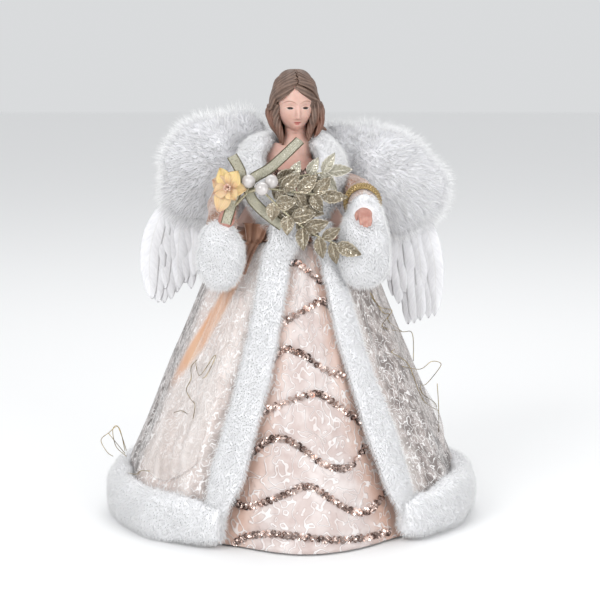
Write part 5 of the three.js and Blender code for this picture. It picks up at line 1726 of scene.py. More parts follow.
def neckline_frill():
    dice = Random(71)

    def place(u, v):
        angle = lerp(-frill_half_angle, frill_half_angle, u)
        wave = frill_wave * math.cos(u * 10 * math.pi)
        return off_body(angle, lerp(frill_low, frill_high, v), frill_lift + wave)

    band = thicken(surface(place, 60, 8), frill_thickness)
    piece("neckline_band", band, copper_satin, nodes=["neckline_frill"])
    bm = bmesh.new()
    for i in range(frill_sequins):
        u, v = dice.random(), dice.random()
        spot = place(u, v)
        out = Vector((spot.x, spot.y, 0)).normalized()
        spot += out * (0.7 + dice.random()) * mm
        sew_sequin(bm, spot, out + Vector((0, 0, 0.4)), dice, 0.7)
    piece("neckline_sequins", bm, rose_gold, smooth=False)


neckline_frill()

# %% [markdown]
# The sleeves are made along the same line as in the frame: shoulder, elbow, back of the cuff. Rings of
# wrinkles stand out where the elbow bends.

# %% Sleeves
sleeve_cloth, nodes, shader = new_finish("peach_sleeve_brocade", 0.42, **sheen)
figure = nodes.group(scrolls, Vector=nodes.place(), Size=6 * mm, Lines=8.0, Width=0.4 * mm, Curl=1.6)
folds = nodes.group(soft_folds, Vector=nodes.place(), Size=10 * mm)
# painted light and shade of the soft folds on the sleeve's ground
ground = nodes.mix(folds["Shade"], "9a6f59", "c9aa9b")
nodes.put(shader["Base Color"], nodes.mix(nodes.math("MULTIPLY", figure["Line"], 0.6), ground, "cfc2ba"))
nodes.put(shader["Metallic"], nodes.math("MULTIPLY", figure["Line"], 0.3))
nodes.put(shader["Roughness"], nodes.math("MULTIPLY_ADD", figure["Line"], -0.1, 0.45))
relief = nodes.bump(folds["Height"], 1.0 * mm)
nodes.put(shader["Normal"], nodes.bump(figure["Height"], 0.4 * mm, relief))

shoulder = Vector((35.3, 2, 223)) * mm
upper_radius, elbow_radius, cuff_radius = 9 * mm, 9.5 * mm, 10.5 * mm
wrists = {"right": Vector((-44, -60, 201)) * mm, "left": Vector((47, -58, 212)) * mm}
cuff_back, elbow_swing = -53 * mm, 4.5 * mm
sleeve_depth = (0, 0.2, 1)


def sleeve_points(side):
    start = Vector((shoulder.x * sides[side], shoulder.y, shoulder.z))
    end = Vector((wrists[side].x, cuff_back, wrists[side].z))
    elbow = start.lerp(end, 0.5) + Vector((sides[side] * elbow_swing, 0, 0))
    return [start, start.lerp(elbow, 0.5), elbow, elbow.lerp(end, 0.5), end]


def sleeve(side):
    def wrinkle(u, v):
        at_elbow = math.exp(-(((v - 0.5) / 0.28) ** 2))
        rings = math.sin(v * 34 + 1.3 * math.sin(u * 2 * math.pi)) * at_elbow
        return 1 + 0.045 * rings + 0.09 * ring_noise(u, 1.6, v * 4)

    radii = [upper_radius * 0.75, upper_radius, elbow_radius, elbow_radius, cuff_radius * 0.95]
    bm = tube(sleeve_points(side), radii, None, 48, 60, sleeve_depth, ridges=wrinkle)
    nodes = [f"sleeve_{side}"]
    piece(f"sleeve_{side}_cloth", bm, sleeve_cloth, f"{side}_arm", nodes)


for side in sides:
    sleeve(side)

# %% Braid on the left sleeve
braid_width, braid_lean, braid_share = 5.5 * mm, 1.1 * mm, 0.84
braid_half_thickness, strand_depth, strands = 0.75 * mm, 0.25 * mm, 36
braid_length, braid_girth = 66 * mm, 10 * mm
braid_look = {"spacing": 1.6 * mm, "shine": (0.45, 0.25), "relief": 0.4 * mm, "on_cloth": True}


def wound_finish(name, dark, light, roughness, metallic, spacing, shine, relief, on_cloth=False):
    """Thread or wire laid in fine turns. shine is the roughness between the turns and on them."""
    material, nodes, shader = new_finish(name, roughness, metallic)
    where = nodes.cloth_place() if on_cloth else nodes.place()
    turns = nodes.group(weave, Vector=where, Spacing=spacing)["Height"]
    # painted shade between the turns and painted light on them, from the turns' height
    nodes.put(shader["Base Color"], nodes.mix(turns, dark, light))
    nodes.put(shader["Roughness"], nodes.ease(turns, 0, 1, *shine))
    nodes.put(shader["Normal"], nodes.bump(turns, relief))
    return material


gold_braid = wound_finish("gold_braid", "7d6138", "d3b983", 0.3, 0.85, **braid_look)


def braid():
    line = spline(sleeve_points("left"))
    along = heading(line, braid_share)
    middle = line(braid_share)
    depth = (Vector(sleeve_depth) - along * along.z).normalized()
    width = along.cross(depth)
    radius = cuff_radius + 0.4 * mm

    def place(u, v):
        turn = v * 2 * math.pi
        a = u * 2 * math.pi
        out = radius + braid_half_thickness * math.cos(turn)
        out += strand_depth * math.cos(a * strands + turn * 2)
        out += braid_lean * (0.6 - math.sin(turn))
        shift = along * (braid_width / 2 * math.sin(turn))
        return middle + shift + (width * math.cos(a) + depth * math.sin(a)) * out

    bm = surface(place, 216, 16, closed=True)
    bmesh.ops.recalc_face_normals(bm, faces=bm.faces)
    cloth_size(bm, braid_length, braid_girth)
    piece("cuff_braid_gold", bm, gold_braid, "left_arm", ["cuff_braid_left"])


braid()

# %% [markdown]
# ## Hands
# Each resin hand is a palm with four fingers laid together and a thumb, joined into one skin like the head.

# %% Hands
hand_look = {"size": 4 * mm, "dark": "a9766a", "light": "bd9083", "shine": (0.38, 0.52), **resin}
hand_skin = mottled_finish("painted_resin_hand", 0.45, relief=resin_grain, **hand_look)

hand_ways = {
    # where the fingers point, and where the back of the hand looks
    "right": ((0.45, -0.25, 0.85), (0.3, 0.9, 0.1)),
    "left": ((0.05, -0.75, -0.45), (0.1, -0.45, 0.9)),
}
palm_stations = [
    # off the back, along the hand, half width and half depth, in mm
    (0, -4, 3.2, 2.4),
    (0, 0, 3.4, 2.4),
    (0.3, 5, 4.9, 2.6),
    (0, 9.5, 4.4, 1.9),
]
finger_places = [(-3.2, 15.0), (-1.1, 16.6), (1.1, 16.8), (3.2, 15.6)]
finger_radii = [1.35, 1.3, 1.15, 0.7]
thumb_places, thumb_radii = [(-3.4, -0.4, 2.5), (-5.2, -1.2, 6), (-5.0, -2.4, 9.5)], [1.6, 1.4, 0.8]
hand_voxel = 0.35 * mm


def hand(side):
    way, back = (Vector(w).normalized() for w in hand_ways[side])
    across = back.cross(way).normalized() * sides[side]
    back = (back - way * back.dot(way)).normalized()

    def at(x, y, z):
        return wrists[side] + (across * x + back * y + way * z) * mm

    def digit(places, radii, steps):
        points = [at(*place) for place in places]
        tube(points, [r * mm for r in radii], None, 14, steps, back, bm)

    bm = bmesh.new()
    points = [at(0, y, z) for y, z, wide, deep in palm_stations]
    widths = [wide * mm for y, z, wide, deep in palm_stations]
    depths = [deep * mm for y, z, wide, deep in palm_stations]
    tube(points, widths, depths, 24, 20, back, bm)
    for x, reach in finger_places:
        bent = [(x * 0.95, 0, 7), (x, 0.2, 11), (x * 0.95, -0.8, reach - 2), (x * 0.85, -2.2, reach)]
        digit(bent, finger_radii, 16)
    digit(thumb_places, thumb_radii, 12)
    bm = remeshed(bm, hand_voxel, 3)
    piece(f"hand_casting_{side}", bm, hand_skin, f"{side}_arm", [f"hand_{side}"])


for side in sides:
    hand(side)

# %% [markdown]
# ## Spray in the right hand
# A wired stem carries a silk flower, pearls, glittered leaves and two wired ribbons. Places on it are given
# from its crossing point in shares of 50 mm, as the frame has them.

# %% Spray places
spray_size = 50 * mm
pearl_shares = [(0.01, -0.01, 0.14), (0.3, -0.04, 0.14), (0.18, -0.14, 0.06)]
pearl_low, pearl_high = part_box("pearl_1")
crossing = (pearl_low + pearl_high) / 2 - Vector(pearl_shares[0]) * spray_size
pearl_radius = (pearl_high.x - pearl_low.x) / 2 * 1.06
upright_depth = (0, 1, 0.1)


def on_spray(shares):
    return crossing + Vector(shares) * spray_size


# %% [markdown]
# Glitter is a crowd of tiny flakes, each tilted its own way. `glitter` makes them with a cell pattern: its
# random value per cell tilts the surface and picks the few flakes that flash, which the finishes paint pale
# as a painted glint.

# %% Glitter group
flake_size = 0.6 * mm
inputs, outputs = {"Vector": None, "Size": flake_size}, ["Flash", "Height", "Tone"]
glitter, nodes, given, made = new_group("glitter", inputs, outputs)
inputs = {"Vector": given["Vector"], "Scale": nodes.math("DIVIDE", 1.0, given["Size"]), "Randomness": 1.0}
cells = nodes.add("ShaderNodeTexVoronoi", inputs).outputs
random_value = nodes.add("ShaderNodeSeparateColor", {0: cells["Color"]}).outputs[0]
# Flash picks the flakes that the finishes paint pale, as a painted glint
nodes.put(made["Flash"], nodes.ease(random_value, 0.86, 0.95))
nodes.put(made["Tone"], random_value)
nodes.put(made["Height"], random_value)

# %% [markdown]
# ## Leaves
# A leaf is pressed metallic cloth: folded along its midrib, raised along its veins, with a notched edge. The
# veins are lighter than the glittered blade. The leaf's own map gives how far across and along each point is.


# %% Leaf finish
vein_rows, vein_slant = 6.0, 1.6


def leaf_finish(name, dark, light, vein):
    material, nodes, shader = new_finish(name, 0.38, metallic=0.55)
    spot = nodes.parts(nodes.cloth_place())
    side = nodes.math("ABSOLUTE", nodes.math("MULTIPLY_ADD", spot[0], 2.0, -1.0))
    slant = nodes.math("MULTIPLY", side, vein_slant)
    rows = nodes.math("FRACT", nodes.math("SUBTRACT", nodes.math("MULTIPLY", spot[1], vein_rows), slant))
    lateral = nodes.ease(nodes.math("ABSOLUTE", nodes.math("SUBTRACT", rows, 0.5)), 0.0, 0.16, 1, 0)
    midrib = nodes.ease(side, 0.05, 0.16, 1, 0)
    rim = nodes.ease(side, 0.8, 0.92)
    lines = nodes.math("MAXIMUM", nodes.math("MAXIMUM", lateral, midrib), rim)
    flakes = nodes.group(glitter, Vector=nodes.place(), Size=0.55 * mm)
    blade = nodes.mix(flakes["Tone"], dark, light)
    color = nodes.mix(nodes.math("MULTIPLY", lines, 0.8), blade, vein)
    # painted glint: the flashing flakes are painted near white
    flash = nodes.math("MULTIPLY", flakes["Flash"], 0.8)
    nodes.put(shader["Base Color"], nodes.mix(flash, color, "fbf6e8"))
    nodes.put(shader["Roughness"], nodes.ease(flakes["Tone"], 0, 1, 0.5, 0.25))
    relief = nodes.bump(flakes["Height"], 0.25 * mm)
    nodes.put(shader["Normal"], nodes.bump(lines, 0.4 * mm, relief))
    return material


silver_leaf = leaf_finish("silver_glitter_leaf", "86816f", "b9b5a5", "e4dfd2")
olive_leaf = leaf_finish("olive_glitter_leaf", "665b49", "948874", "bfb49f")

leaf_fold, leaf_thickness = 0.35, 0.3 * mm
least_half_width, vein_height = 0.15 * mm, 0.12 * mm


def join_blade(bm, blade, thickness):
    """Gives a leaf or a petal its thickness and adds it to the form."""
    bmesh.ops.solidify(blade, geom=blade.faces[:], thickness=thickness)
    bmesh.ops.recalc_face_normals(blade, faces=blade.faces)
    join_form(bm, blade)


def leaf(bm, foot, way, length, width, normal, bend=0.12):
    """Adds one closed leaf that leaves its foot in the given direction."""
    way = Vector(way).normalized()
    front = Vector(normal)
    front = (front - way * front.dot(way)).normalized()
    across = way.cross(front)

    def place(u, v):
        side = 2 * u - 1
        outline = math.sin(math.pi * min(v, 1) ** 0.85) ** 0.8 * (1 - 0.25 * v)
        notch = 1 + 0.06 * math.cos(v * 34) * abs(side)
        half = max(width / 2 * 1.12 * outline * notch, least_half_width)
        rise = leaf_fold * half * abs(side) - bend * length * v * v
        vein = vein_height * math.cos((v * vein_rows - abs(side) * vein_slant) * 2 * math.pi)
        return foot + way * (length * v) + across * side * half + front * (rise + vein)

    join_blade(bm, surface(place, 10, 18), leaf_thickness)


# %% Leaf sprays
stem_radius = 0.7 * mm
wrap_spacing, wrap_relief = 1.2 * mm, 0.2 * mm
stem_look = {"spacing": wrap_spacing, "shine": (0.6, 0.4), "relief": wrap_relief}
stem_wire = wound_finish("wrapped_stem", "7f7758", "cfc8ae", 0.5, 0.3, **stem_look)

spray_tip = (0.14, 0.05, 0.06)
spray_lines = [
    [spray_tip, (0.6, 0.14, 0.18), (1.0, 0.16, 0.24)],
    [spray_tip, (0.56, 0.06, 0.0), (0.92, 0.08, -0.04)],
    [spray_tip, (0.48, -0.05, -0.26), (0.82, -0.03, -0.52), (1.12, 0.02, -0.66)],
]
leaf_length, leaf_width = 15 * mm, 8 * mm
leaf_rows = [
    # share along the line, side, length share, width share
    [(0.3, 1, 0.95, 1.05), (0.5, 1, 1.05, 1.1), (0.7, 1, 1.05, 1.05), (0.86, 1, 1.0, 1.0), (1.0, 0, 1.1, 1.0),
     (0.45, -1, 0.8, 0.9), (0.68, -1, 0.85, 0.9), (0.9, -1, 1.0, 0.9)],
    [(0.3, 1, 0.8, 1.0), (0.55, 1, 0.85, 1.0), (0.8, 1, 0.9, 1.0), (1.0, 0, 1.15, 1.1), (0.35, -1, 1.1, 1.2),
     (0.6, -1, 1.1, 1.2), (0.85, -1, 1.0, 1.1)],
    [(0.2, 1, 0.8, 1.1), (0.36, 1, 0.85, 1.1), (0.54, 1, 1.0, 1.1), (0.74, 1, 0.95, 1.0), (0.9, 1, 1.0, 0.95),
     (0.22, -1, 0.9, 1.25), (0.4, -1, 1.1, 1.25), (0.56, -1, 1.1, 1.2), (0.78, -1, 0.9, 0.95),
     (1.0, 0, 1.15, 1.15)],
]
spray_finishes = [silver_leaf, olive_leaf, olive_leaf]
filling_leaves = [
    # place in shares, way in degrees from straight right, size share
    ((0.3, 0.1, 0.02), -20, 1.1),
    ((0.36, 0.1, 0.14), 25, 1.0),
    ((0.42, 0.1, -0.12), -35, 1.2),
    ((0.5, 0.08, -0.22), -20, 1.2),
    ((0.56, 0.1, -0.08), -5, 1.1),
    ((0.62, 0.08, -0.34), -40, 1.2),
    ((0.7, 0.1, 0.02), 15, 1.0),
    ((0.34, 0.1, -0.2), -60, 1.1),
    ((0.68, 0.1, -0.2), -15, 1.0),
]


def leaf_spray(number):
    line = spline([on_spray(p) for p in spray_lines[number]])
    dice = Random(91 + number)
    bm = bmesh.new()

    def facing_out():
        return (dice.uniform(-0.3, 0.3), -1, dice.uniform(-0.2, 0.4))

    for t, side, long, wide in leaf_rows[number]:
        forward = heading(line, min(t, 0.98))
        up = Vector((0, -1, 0)).cross(forward).normalized() * -1
        way = forward * (0.75 if side else 1) + up * side * 0.95 + Vector((0, dice.uniform(-0.35, 0.0), 0))
        length, width = leaf_length * long, leaf_width * wide
        leaf(bm, line(t), way, length, width, facing_out(), bend=dice.uniform(0, 0.2))
    for spot, turn, size in filling_leaves if number == 1 else ():
        way = (math.cos(turn * degree), 0.05, math.sin(turn * degree))
        leaf(bm, on_spray(spot), way, leaf_length * size, leaf_width * size * 1.2, facing_out())
    points = [line(i / 8) for i in range(9)]
    stem = tube(points, [stem_radius, stem_radius * 0.7], None, 10, 30, upright_depth)
    nodes = [f"leaf_spray_{number + 1}"]
    piece(f"leaves_{number + 1}", bm, spray_finishes[number], "right_arm", nodes)
    piece(f"leaf_stem_{number + 1}", stem, stem_wire, "right_arm")


for number in range(len(spray_lines)):
    leaf_spray(number)

# %% [markdown]
# ## Ribbons
# The ribbons are woven from pale metallic thread with a dark wire in each edge, so they hold their bends.
# Each is a thin strip along a smooth line, slightly cupped, with its two wires as tubes.

# %% Ribbon finish
stripes_per_metre = 8400.0
ribbon_cloth, nodes, shader = new_finish("metallic_ribbon", 0.35, metallic=0.45)
cloth_map = nodes.cloth_place()
ribs = nodes.group(weave, Vector=cloth_map, Spacing=1.1 * mm)["Height"]
lengthwise = nodes.math("SINE", nodes.math("MULTIPLY", nodes.parts(cloth_map)[0], stripes_per_metre))
stripe = nodes.ease(lengthwise, -0.8, 0.8)
flakes = nodes.group(glitter, Vector=nodes.place(), Size=flake_size)
color = nodes.mix(stripe, "a19d89", "c3c0ae")
# painted glint: the flashing flakes are painted near white
nodes.put(shader["Base Color"], nodes.mix(nodes.math("MULTIPLY", flakes["Flash"], 0.7), color, "f4efe0"))
nodes.put(shader["Roughness"], nodes.ease(flakes["Tone"], 0, 1, 0.45, 0.25))
nodes.put(shader["Normal"], nodes.bump(ribs, 0.25 * mm, nodes.bump(stripe, 0.1 * mm)))

edge_look = {"spacing": wrap_spacing, "shine": (0.5, 0.3), "relief": wrap_relief}
edge_wire = wound_finish("dark_ribbon_wire", "3b3527", "6f684d", 0.4, 0.7, **edge_look)

ribbon_width, ribbon_thickness, edge_radius = 6.2 * mm, 0.35 * mm, 0.32 * mm
ribbon_cup, ribbon_ripple = 0.6 * mm, 0.5 * mm
ribbon_lines = {
    "long": [(0.44, 0.06, -0.44), (0.2, 0.09, -0.26), (0.03, 0.088, -0.06), (0.04, 0.088, 0.14),
             (0.3, 0.26, 0.3), (0.66, 0.72, 0.6)],
    "short": [(-0.28, -0.03, -0.4), (-0.2, 0.074, -0.14), (-0.12, 0.085, 0.08), (-0.09, 0.085, 0.24),
              (-0.2, 0.03, 0.46)],
}


def ribbon(name):
    line = spline([on_spray(p) for p in ribbon_lines[name]])
    length = sum((line((i + 1) / 60) - line(i / 60)).length for i in range(60))

    def frame_at(v):
        forward = heading(line, v)
        across = forward.cross(Vector((0, -1, 0.15))).normalized()
        return line(v), across, forward.cross(across).normalized()

    def place(u, v):
        middle, across, out = frame_at(v)
        side = 2 * u - 1
        ripple = ribbon_ripple * math.sin(v * 13 + side * 1.5)
        cup = ribbon_cup * (1 - side * side)
        return middle + across * side * ribbon_width / 2 - out * (cup + ripple)

    bm = surface(place, 10, 90)
    cloth_size(bm, ribbon_width, length)
    thicken(bm, ribbon_thickness)
    piece(f"ribbon_{name}_woven", bm, ribbon_cloth, "right_arm", [f"ribbon_{name}"])
    wires = bmesh.new()
    for u in (0.0, 1.0):
        points = [place(u, i / 40) for i in range(41)]
        tube(points, [edge_radius] * 2, None, 8, 100, upright_depth, wires)
    piece(f"ribbon_{name}_wires", wires, edge_wire, "right_arm")


for name in ribbon_lines:
    ribbon(name)

# %% [markdown]
# ## Flower and pearls
# Silk petals are stamped thin, pointed and cupped, yellow at the top and apricot below, with a few cream
# stamens. The pearls are drilled beads with a soft nacre shine.

# %% Flower
thin_silk = {"Subsurface_Weight": 0.15, "Subsurface_Scale": 2 * mm, **sheen}
petal_silk, nodes, shader = new_finish("petal_silk", 0.55, **thin_silk)
spot = nodes.parts(nodes.cloth_place())
warm = nodes.attribute("warm")
veins = nodes.ease(nodes.math("SINE", nodes.math("MULTIPLY", spot[0], 60.0)), 0.2, 1.0)
outer = nodes.mix(warm, "e6c68a", "ddba94")
color = nodes.mix(nodes.ease(spot[1], 0.0, 0.5, 0.75, 0), outer, "cf9a80")
color = nodes.mix(nodes.math("MULTIPLY", nodes.ease(spot[1], 0.75, 1.0), warm), color, "e0b39c")
nodes.put(shader["Base Color"], nodes.mix(nodes.math("MULTIPLY", veins, 0.12), color, "c98f3c"))
nodes.put(shader["Roughness"], nodes.ease(veins, 0, 1, 0.5, 0.65))
nodes.put(shader["Normal"], nodes.bump(veins, 0.2 * mm))
stamen_wax = mottled_finish("stamen_wax", 0.5, 2 * mm, "c99888", "d9c0ae", relief=0.1 * mm)

flower_hub = on_spray((-0.23, -0.02, 0.06))
flower_facing = Vector((-0.35, -0.9, 0.12)).normalized()
petal_length, petal_width, petal_thickness = 13.5 * mm, 10.5 * mm, 0.3 * mm
petal_gap, petal_curl = 0.6 * mm, 0.7 * mm
stamen_radius, stamen_head, stamen_length = 0.22 * mm, 0.62 * mm, 3.6
petal_rows = [
    # turn in degrees from straight up, length share, width share, how far it leans back, warmth
    (-33, 1.05, 1.0, 0.15, 0.0),
    (25, 0.85, 1.2, 0.1, 0.05),
    (94, 0.72, 0.9, 0.3, 0.3),
    (208, 1.25, 1.15, 0.2, 0.7),
    (-71, 1.0, 1.05, 0.25, 1.0),
    (250, 0.8, 0.9, -0.1, 0.9),
    (150, 0.6, 0.9, 0.0, 0.5),
]


def flower():
    upward = (Vector((0, 0, 1)) - flower_facing * flower_facing.z).normalized()
    aside = upward.cross(flower_facing).normalized()
    bm = bmesh.new()
    point_values(bm, "warm")
    for turn, long, wide, lean, warm in petal_rows:
        a = turn * degree
        out = upward * math.cos(a) + aside * math.sin(a)
        across = flower_facing.cross(out)

        def place(u, v):
            side = 2 * u - 1
            outline = math.sin(math.pi * min(v, 1)) ** 0.8 * (1.12 - 0.3 * v)
            half = petal_width / 2 * wide * max(outline, 0.03)
            reach = petal_length * long * v
            cup = 0.32 * half * side * side + (0.2 - lean) * reach - 0.18 * petal_length * v**3
            curl = petal_curl * math.sin(side * 5 + turn) * v
            spot = flower_hub + out * (reach + petal_gap) + across * side * half
            return spot + flower_facing * (cup + curl)

        join_blade(bm, surface(place, 12, 16, paint={"warm": lambda u, v: warm}), petal_thickness)
    piece("flower_petals", bm, petal_silk, "right_arm", ["flower"])
    dice = Random(17)
    stamens = bmesh.new()
    for i in range(14):
        a, tilt = i * 2.4, 0.25 + 0.4 * dice.random()
        way = (flower_facing + (upward * math.cos(a) + aside * math.sin(a)) * tilt).normalized()
        end = flower_hub + way * (stamen_length + dice.random()) * mm
        tube([flower_hub, end], [stamen_radius] * 2, None, 6, 2, (0.1, 0, 1), stamens)
        ball = Matrix.Translation(end) @ Matrix.Scale(stamen_head, 4)
        bmesh.ops.create_icosphere(stamens, subdivisions=2, radius=1, matrix=ball)
    piece("flower_stamens", stamens, stamen_wax, "right_arm")


flower()

# %% Pearls
nacre = {"Coat_Weight": 0.8, "Coat_Roughness": 0.05, "Specular_IOR_Level": 0.7}
nacre_look = {"size": 5 * mm, "dark": "b3aeab", "light": "c8c3c1", "shine": (0.1, 0.18), **nacre}
pearl_nacre = mottled_finish("pearl_nacre", 0.2, relief=0.02 * mm, **nacre_look)
pearl_hole = 0.12


def pearl(number):
    bm = bmesh.new()
    bmesh.ops.create_uvsphere(bm, u_segments=40, v_segments=28, radius=pearl_radius)
    for v in bm.verts:
        flat = math.hypot(v.co.x, v.co.y) / pearl_radius
        if flat < pearl_hole:
            v.co.z *= 0.9
    way = Vector((0.5, 0.3, 1)).to_track_quat("Z", "Y").to_matrix().to_4x4()
    matrix = Matrix.Translation(on_spray(pearl_shares[number])) @ way
    bmesh.ops.transform(bm, matrix=matrix, verts=bm.verts)
    piece(f"pearl_bead_{number + 1}", bm, pearl_nacre, "right_arm", [f"pearl_{number + 1}"])


for number in range(len(pearl_shares)):
    pearl(number)

# %% [markdown]
# ## Sheer scarves
# A length of organza is tucked under each sleeve and hangs down the coat in fine pleats, and its lower end
# is gathered into a soft pouch. It is so thin that the brocade shows through, more where it lies flat and
# less in its folds, so its alpha follows the pleats. Curly gold wire is worked into it and sticks out in
# loops.

# %% Organza
pouch_heights = (42 * mm, 72 * mm)
organza, nodes, shader = new_finish("sheer_organza", 0.35, Sheen_Weight=0.5, Sheen_Roughness=0.3)
cloth_map = nodes.cloth_place()
pleat_line = nodes.attribute("pleat")
threads = nodes.group(weave, Vector=cloth_map, Spacing=0.8 * mm)["Height"]
crumple = nodes.noise(12 * mm, 3, where=nodes.vector("MULTIPLY", cloth_map, (1.0, 0.35, 1.0)))
fold = nodes.blend(pleat_line, nodes.ease(crumple, 0.4, 0.65), 0.4)
nodes.put(shader["Base Color"], nodes.mix(fold, "e0d7d2", "f0eae7"))
low = nodes.ease(nodes.parts(nodes.place())[2], *pouch_heights, 0.18, 0.0)
veil = nodes.math("ADD", nodes.math("MULTIPLY_ADD", fold, 0.15, 0.03), low)
nodes.put(shader["Alpha"], nodes.math("MULTIPLY_ADD", threads, 0.04, veil))
nodes.put(shader["Roughness"], nodes.ease(fold, 0, 1, 0.3, 0.5))
nodes.put(shader["Normal"], nodes.bump(threads, 0.08 * mm, nodes.bump(crumple, 1.2 * mm)))

wire_look = {"size": 6 * mm, "dark": "5e5038", "light": "b39f6e", "shine": (0.25, 0.45)}
gold_wire = mottled_finish("gold_curl_wire", 0.3, metallic=0.9, **wire_look)

# %% Scarves
curl_radius = 0.24 * mm
organza_thickness, organza_ease_share = 0.3 * mm, 1.15
pouch_bulge, pouch_share, belly, pleat_half = 5 * mm, 0.36, 1.6 * mm, 0.45 * mm
scarf_lift = 1.7 * mm
scarf_width = 48 * mm
scarf_corner = 14 * mm
scarf_places = {
    # top and foot angles, lowest point, highest point, pleats
    "right": ((-50, -32), (-67, -36), 36 * mm, 158 * mm, 7),
    "left": ((60, 84), (68, 94), 48 * mm, 158 * mm, 6),
}
curl_places = {
    # where the wires run, in mm
    "right": [
        [(-112, -14, 43), (-116, -14, 59), (-123, -14, 55), (-128, -14, 50), (-124, -14, 42),
         (-120, -14, 39)],
        [(-111, -14, 39), (-118, -14, 46), (-120, -14, 57), (-117, -14, 60), (-114, -14, 53),
         (-111, -14, 43)],
        [(-123, -14, 55), (-112, -14, 41)],
        [(-61, -50, 112), (-65, -48, 107), (-65, -53, 100), (-68, -54, 93), (-65, -60, 88), (-62, -65, 85),
         (-63, -70, 77)],
        [(-62, -50, 110), (-59, -57, 103), (-50, -61, 116), (-49, -61, 115), (-54, -64, 105),
         (-57, -62, 102)],
        [(-76, -55, 78), (-71, -59, 80), (-67, -64, 79)],
        [(-110, -24, 30), (-106, -42, 34), (-101, -52, 36), (-98, -55, 39), (-92, -60, 40)],
    ],
    "left": [
        [(52, -36, 154), (60, -33, 141), (65, -27, 138), (60, -39, 132), (74, -12, 124), (81, -14, 123),
         (82, -12, 104)],
        [(53, -36, 151), (59, -34, 144), (67, -22, 140), (64, -31, 135), (74, -10, 124)],
        [(73, -41, 106), (86, -20, 100), (94, -14, 104), (100, -14, 103), (99, -14, 99), (91, -10, 88),
         (86, -30, 91), (87, -32, 86), (96, -12, 76), (98, -14, 73)],
        [(68, -40, 117), (66, -43, 116), (68, -42, 114), (71, -39, 112), (78, -35, 105), (87, -36, 83),
         (99, -12, 70)],
        [(98, -14, 89), (99, -16, 73), (98, -34, 60)],
    ],
}


def scarf(side):
    (top_start, top_end), (foot_start, foot_end), low, high, pleat_count = scarf_places[side]

    def wave(u, v):
        return math.cos((u * pleat_count + 0.5 * math.sin(v * 5)) * 2 * math.pi)

    def place(u, v):
        angle = lerp(lerp(foot_start, foot_end, u), lerp(top_start, top_end, u), v)
        z = lerp(low, high, v)
        across = math.sin(math.pi * u)
        bulge = across**0.7 * math.sin(math.pi * min(v / pouch_share, 1)) * pouch_bulge
        hang = across * belly
        pleat = (1 + wave(u, v)) * pleat_half * (0.4 + 0.6 * across)
        z += scarf_corner * (1 - across) * (1 - v) ** 5
        return round_body(angle, coat_line(angle, z) + scarf_lift + bulge + hang + pleat, z)

    bm = surface(place, 110, 90, paint={"pleat": lambda u, v: 0.5 + 0.5 * wave(u, v)})
    flat = (scarf_width, (high - low) * organza_ease_share)
    cloth_size(bm, *flat)
    thicken(bm, organza_thickness)
    cloth = piece(f"scarf_{side}_organza", bm, organza, nodes=[f"scarf_{side}"])

    wires = bmesh.new()
    for places in curl_places[side]:
        points = [Vector(p) * mm for p in places]
        tube(points, [curl_radius] * 2, None, 6, 12 * len(places), (0.1, 1, 0.2), wires)
    curls = piece(f"scarf_{side}_curls", wires, gold_wire)


for side in sides:
    scarf(side)

# %% [markdown]
# ## Inside and behind
# What carries the dress shows from below and from behind: the wadding that fills the skirt, the board cone,
# the card of the wings, the plate and pins they turn on, and the wires in the arms.

# %% Wadding
wadding_foot, wadding_top = (corner.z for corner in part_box("skirt_wadding"))
cone_radii, cone_room = (96 * mm, 38 * mm), 0.6 * mm
satin_room, clump_height, clump_size = 2.4 * mm, 1.2 * mm, 14 * mm


def fibre_finish(name, dark, light, size, relief, grain=None, **curls):
    """White fibres in a loose tangle, with soft blotches of a given size."""
    material, nodes, shader = new_finish(name, 0.95, Sheen_Weight=0.3, Sheen_Roughness=0.6)
    tangle = nodes.group(scrolls, Vector=nodes.place(), **curls)
    blotch = nodes.group(mottle, Vector=nodes.place(), Size=size)
    nodes.put(shader["Base Color"], nodes.mix(blotch["Shade"], dark, light))
    under = nodes.bump(blotch["Grain"], grain) if grain else None
    nodes.put(shader["Normal"], nodes.bump(tangle["Height"], relief, under))
    return material


curls = {"Size": 8 * mm, "Lines": 3.0, "Width": 0.5 * mm, "Curl": 2.5, "relief": 0.8 * mm, "grain": 0.4 * mm}
wadding_fibre = fibre_finish("polyester_wadding", "cfcfcd", "e6e6e4", 10 * mm, **curls)


def wadding():
    stations = 26

    def place(u, v):
        """Up the outside in the first half of v, down the inside in the second."""
        angle = 360 * u - 180
        t = (v * 2) % 2
        outer = t < 1
        up = t if outer else 2 - t
        z = lerp(wadding_foot, wadding_top, up)
        clump = ring_noise(0.75 - u, 5, z / clump_size) * clump_height
        if outer:
            return round_body(angle, skirt_line(angle, z) - satin_room - abs(clump), z)
        return round_body(angle, lerp(*cone_radii, up) + cone_room, z)

    bm = surface(place, 96, stations * 2 + 1, closed=True)
    bmesh.ops.recalc_face_normals(bm, faces=bm.faces)
    obj = piece("skirt_wadding_fibre", bm, wadding_fibre, nodes=["skirt_wadding"])


wadding()

# %% [markdown]
# The card of each wing is stiff felt. It is one flat form inside the outline of the down, cut a little
# smaller, so that no edge of it shows past the feathers.

# %% Wing cards
curls = {"Size": 3 * mm, "Lines": 2.0, "Width": 0.2 * mm, "Curl": 2.0, "relief": 0.4 * mm}
felt = fibre_finish("white_felt_card", "cfcecb", "dedddb", 12 * mm, **curls)


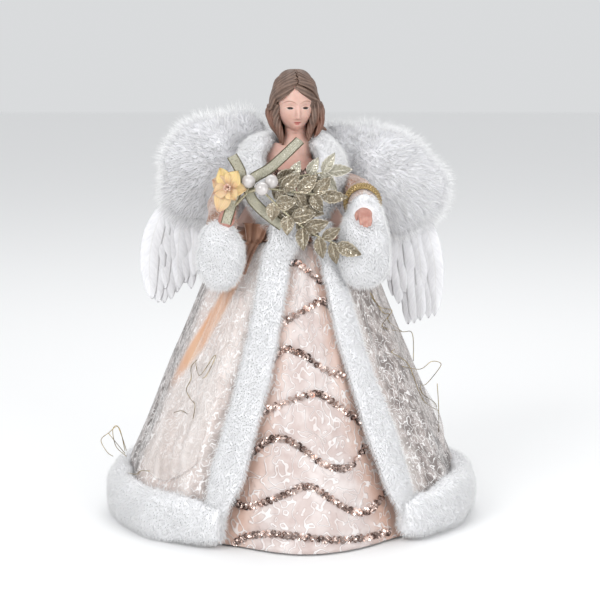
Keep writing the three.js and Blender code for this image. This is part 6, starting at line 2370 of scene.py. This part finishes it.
def wing_card(side):
    """The card itself, kept a little smaller than the down."""
    rows = down_stations[side]
    points = [wing_place(side, s - 0.03, (t + b) / 2, card_thickness / 2) for s, t, b, d in rows]
    halves = [(t - b) / 2 * wing_height - card_margin for s, t, b, d in rows]
    bm = tube(points, halves, [card_thickness / 2] * 2, sides=24, steps=40, facing=(0, -1, 0))
    piece(f"wing_card_{side}", bm, felt, f"{side}_wing", [f"wing_backing_{side}"])


for side in sides:
    wing_card(side)

# %% [markdown]
# The rigid pieces keep their shape from the frame and only get their finish here.

# %% Finishes for the frame's own pieces
board, nodes, shader = new_finish("paper_board", 0.85)
blotch = nodes.group(mottle, Vector=nodes.place(), Size=4 * mm)
fibre = nodes.noise(0.9 * mm, 4)
nodes.put(shader["Base Color"], nodes.mix(nodes.blend(blotch["Shade"], fibre, 0.5), "8d7a63", "b7a58c"))
nodes.put(shader["Roughness"], nodes.ease(fibre, 0.3, 0.7, 0.8, 0.95))
nodes.put(shader["Normal"], nodes.bump(fibre, 0.25 * mm))

plastic_look = {"size": 3 * mm, "dark": "c9c7c2", "light": "d6d4cf", "shine": (0.34, 0.5)}
plastic = mottled_finish("moulded_white_plastic", 0.4, relief=0.06 * mm, **plastic_look)

steel, nodes, shader = new_finish("drawn_steel_wire", 0.3, metallic=1.0)
drawn = nodes.noise(0.7 * mm, 3)
nodes.put(shader["Base Color"], nodes.mix(drawn, "8a8a88", "c2c1be"))
nodes.put(shader["Roughness"], nodes.ease(drawn, 0.3, 0.7, 0.22, 0.42))

dowel, nodes, shader = new_finish("beech_dowel", 0.6)
long_grain = nodes.vector("MULTIPLY", nodes.place(), (1.0, 1.0, 0.08))
grain = nodes.noise(1.2 * mm, 4, where=long_grain)
nodes.put(shader["Base Color"], nodes.mix(nodes.ease(grain, 0.3, 0.7), "9c7650", "c9a679"))
nodes.put(shader["Roughness"], nodes.ease(grain, 0.3, 0.7, 0.5, 0.7))
nodes.put(shader["Normal"], nodes.bump(grain, 0.1 * mm))

kept_finishes = {
    "inner_cone": board,
    "neck_post": dowel,
    "wing_mount": plastic,
    "wing_pin_right": steel,
    "wing_pin_left": steel,
    "arm_wire_right": steel,
    "arm_wire_left": steel,
    "pick_stem": stem_wire,
}
for name, finish in kept_finishes.items():
    mesh = bpy.data.objects[name].data
    mesh.materials.clear()
    mesh.materials.append(finish)
print("frame pieces with their own finish:", len(kept_finishes))
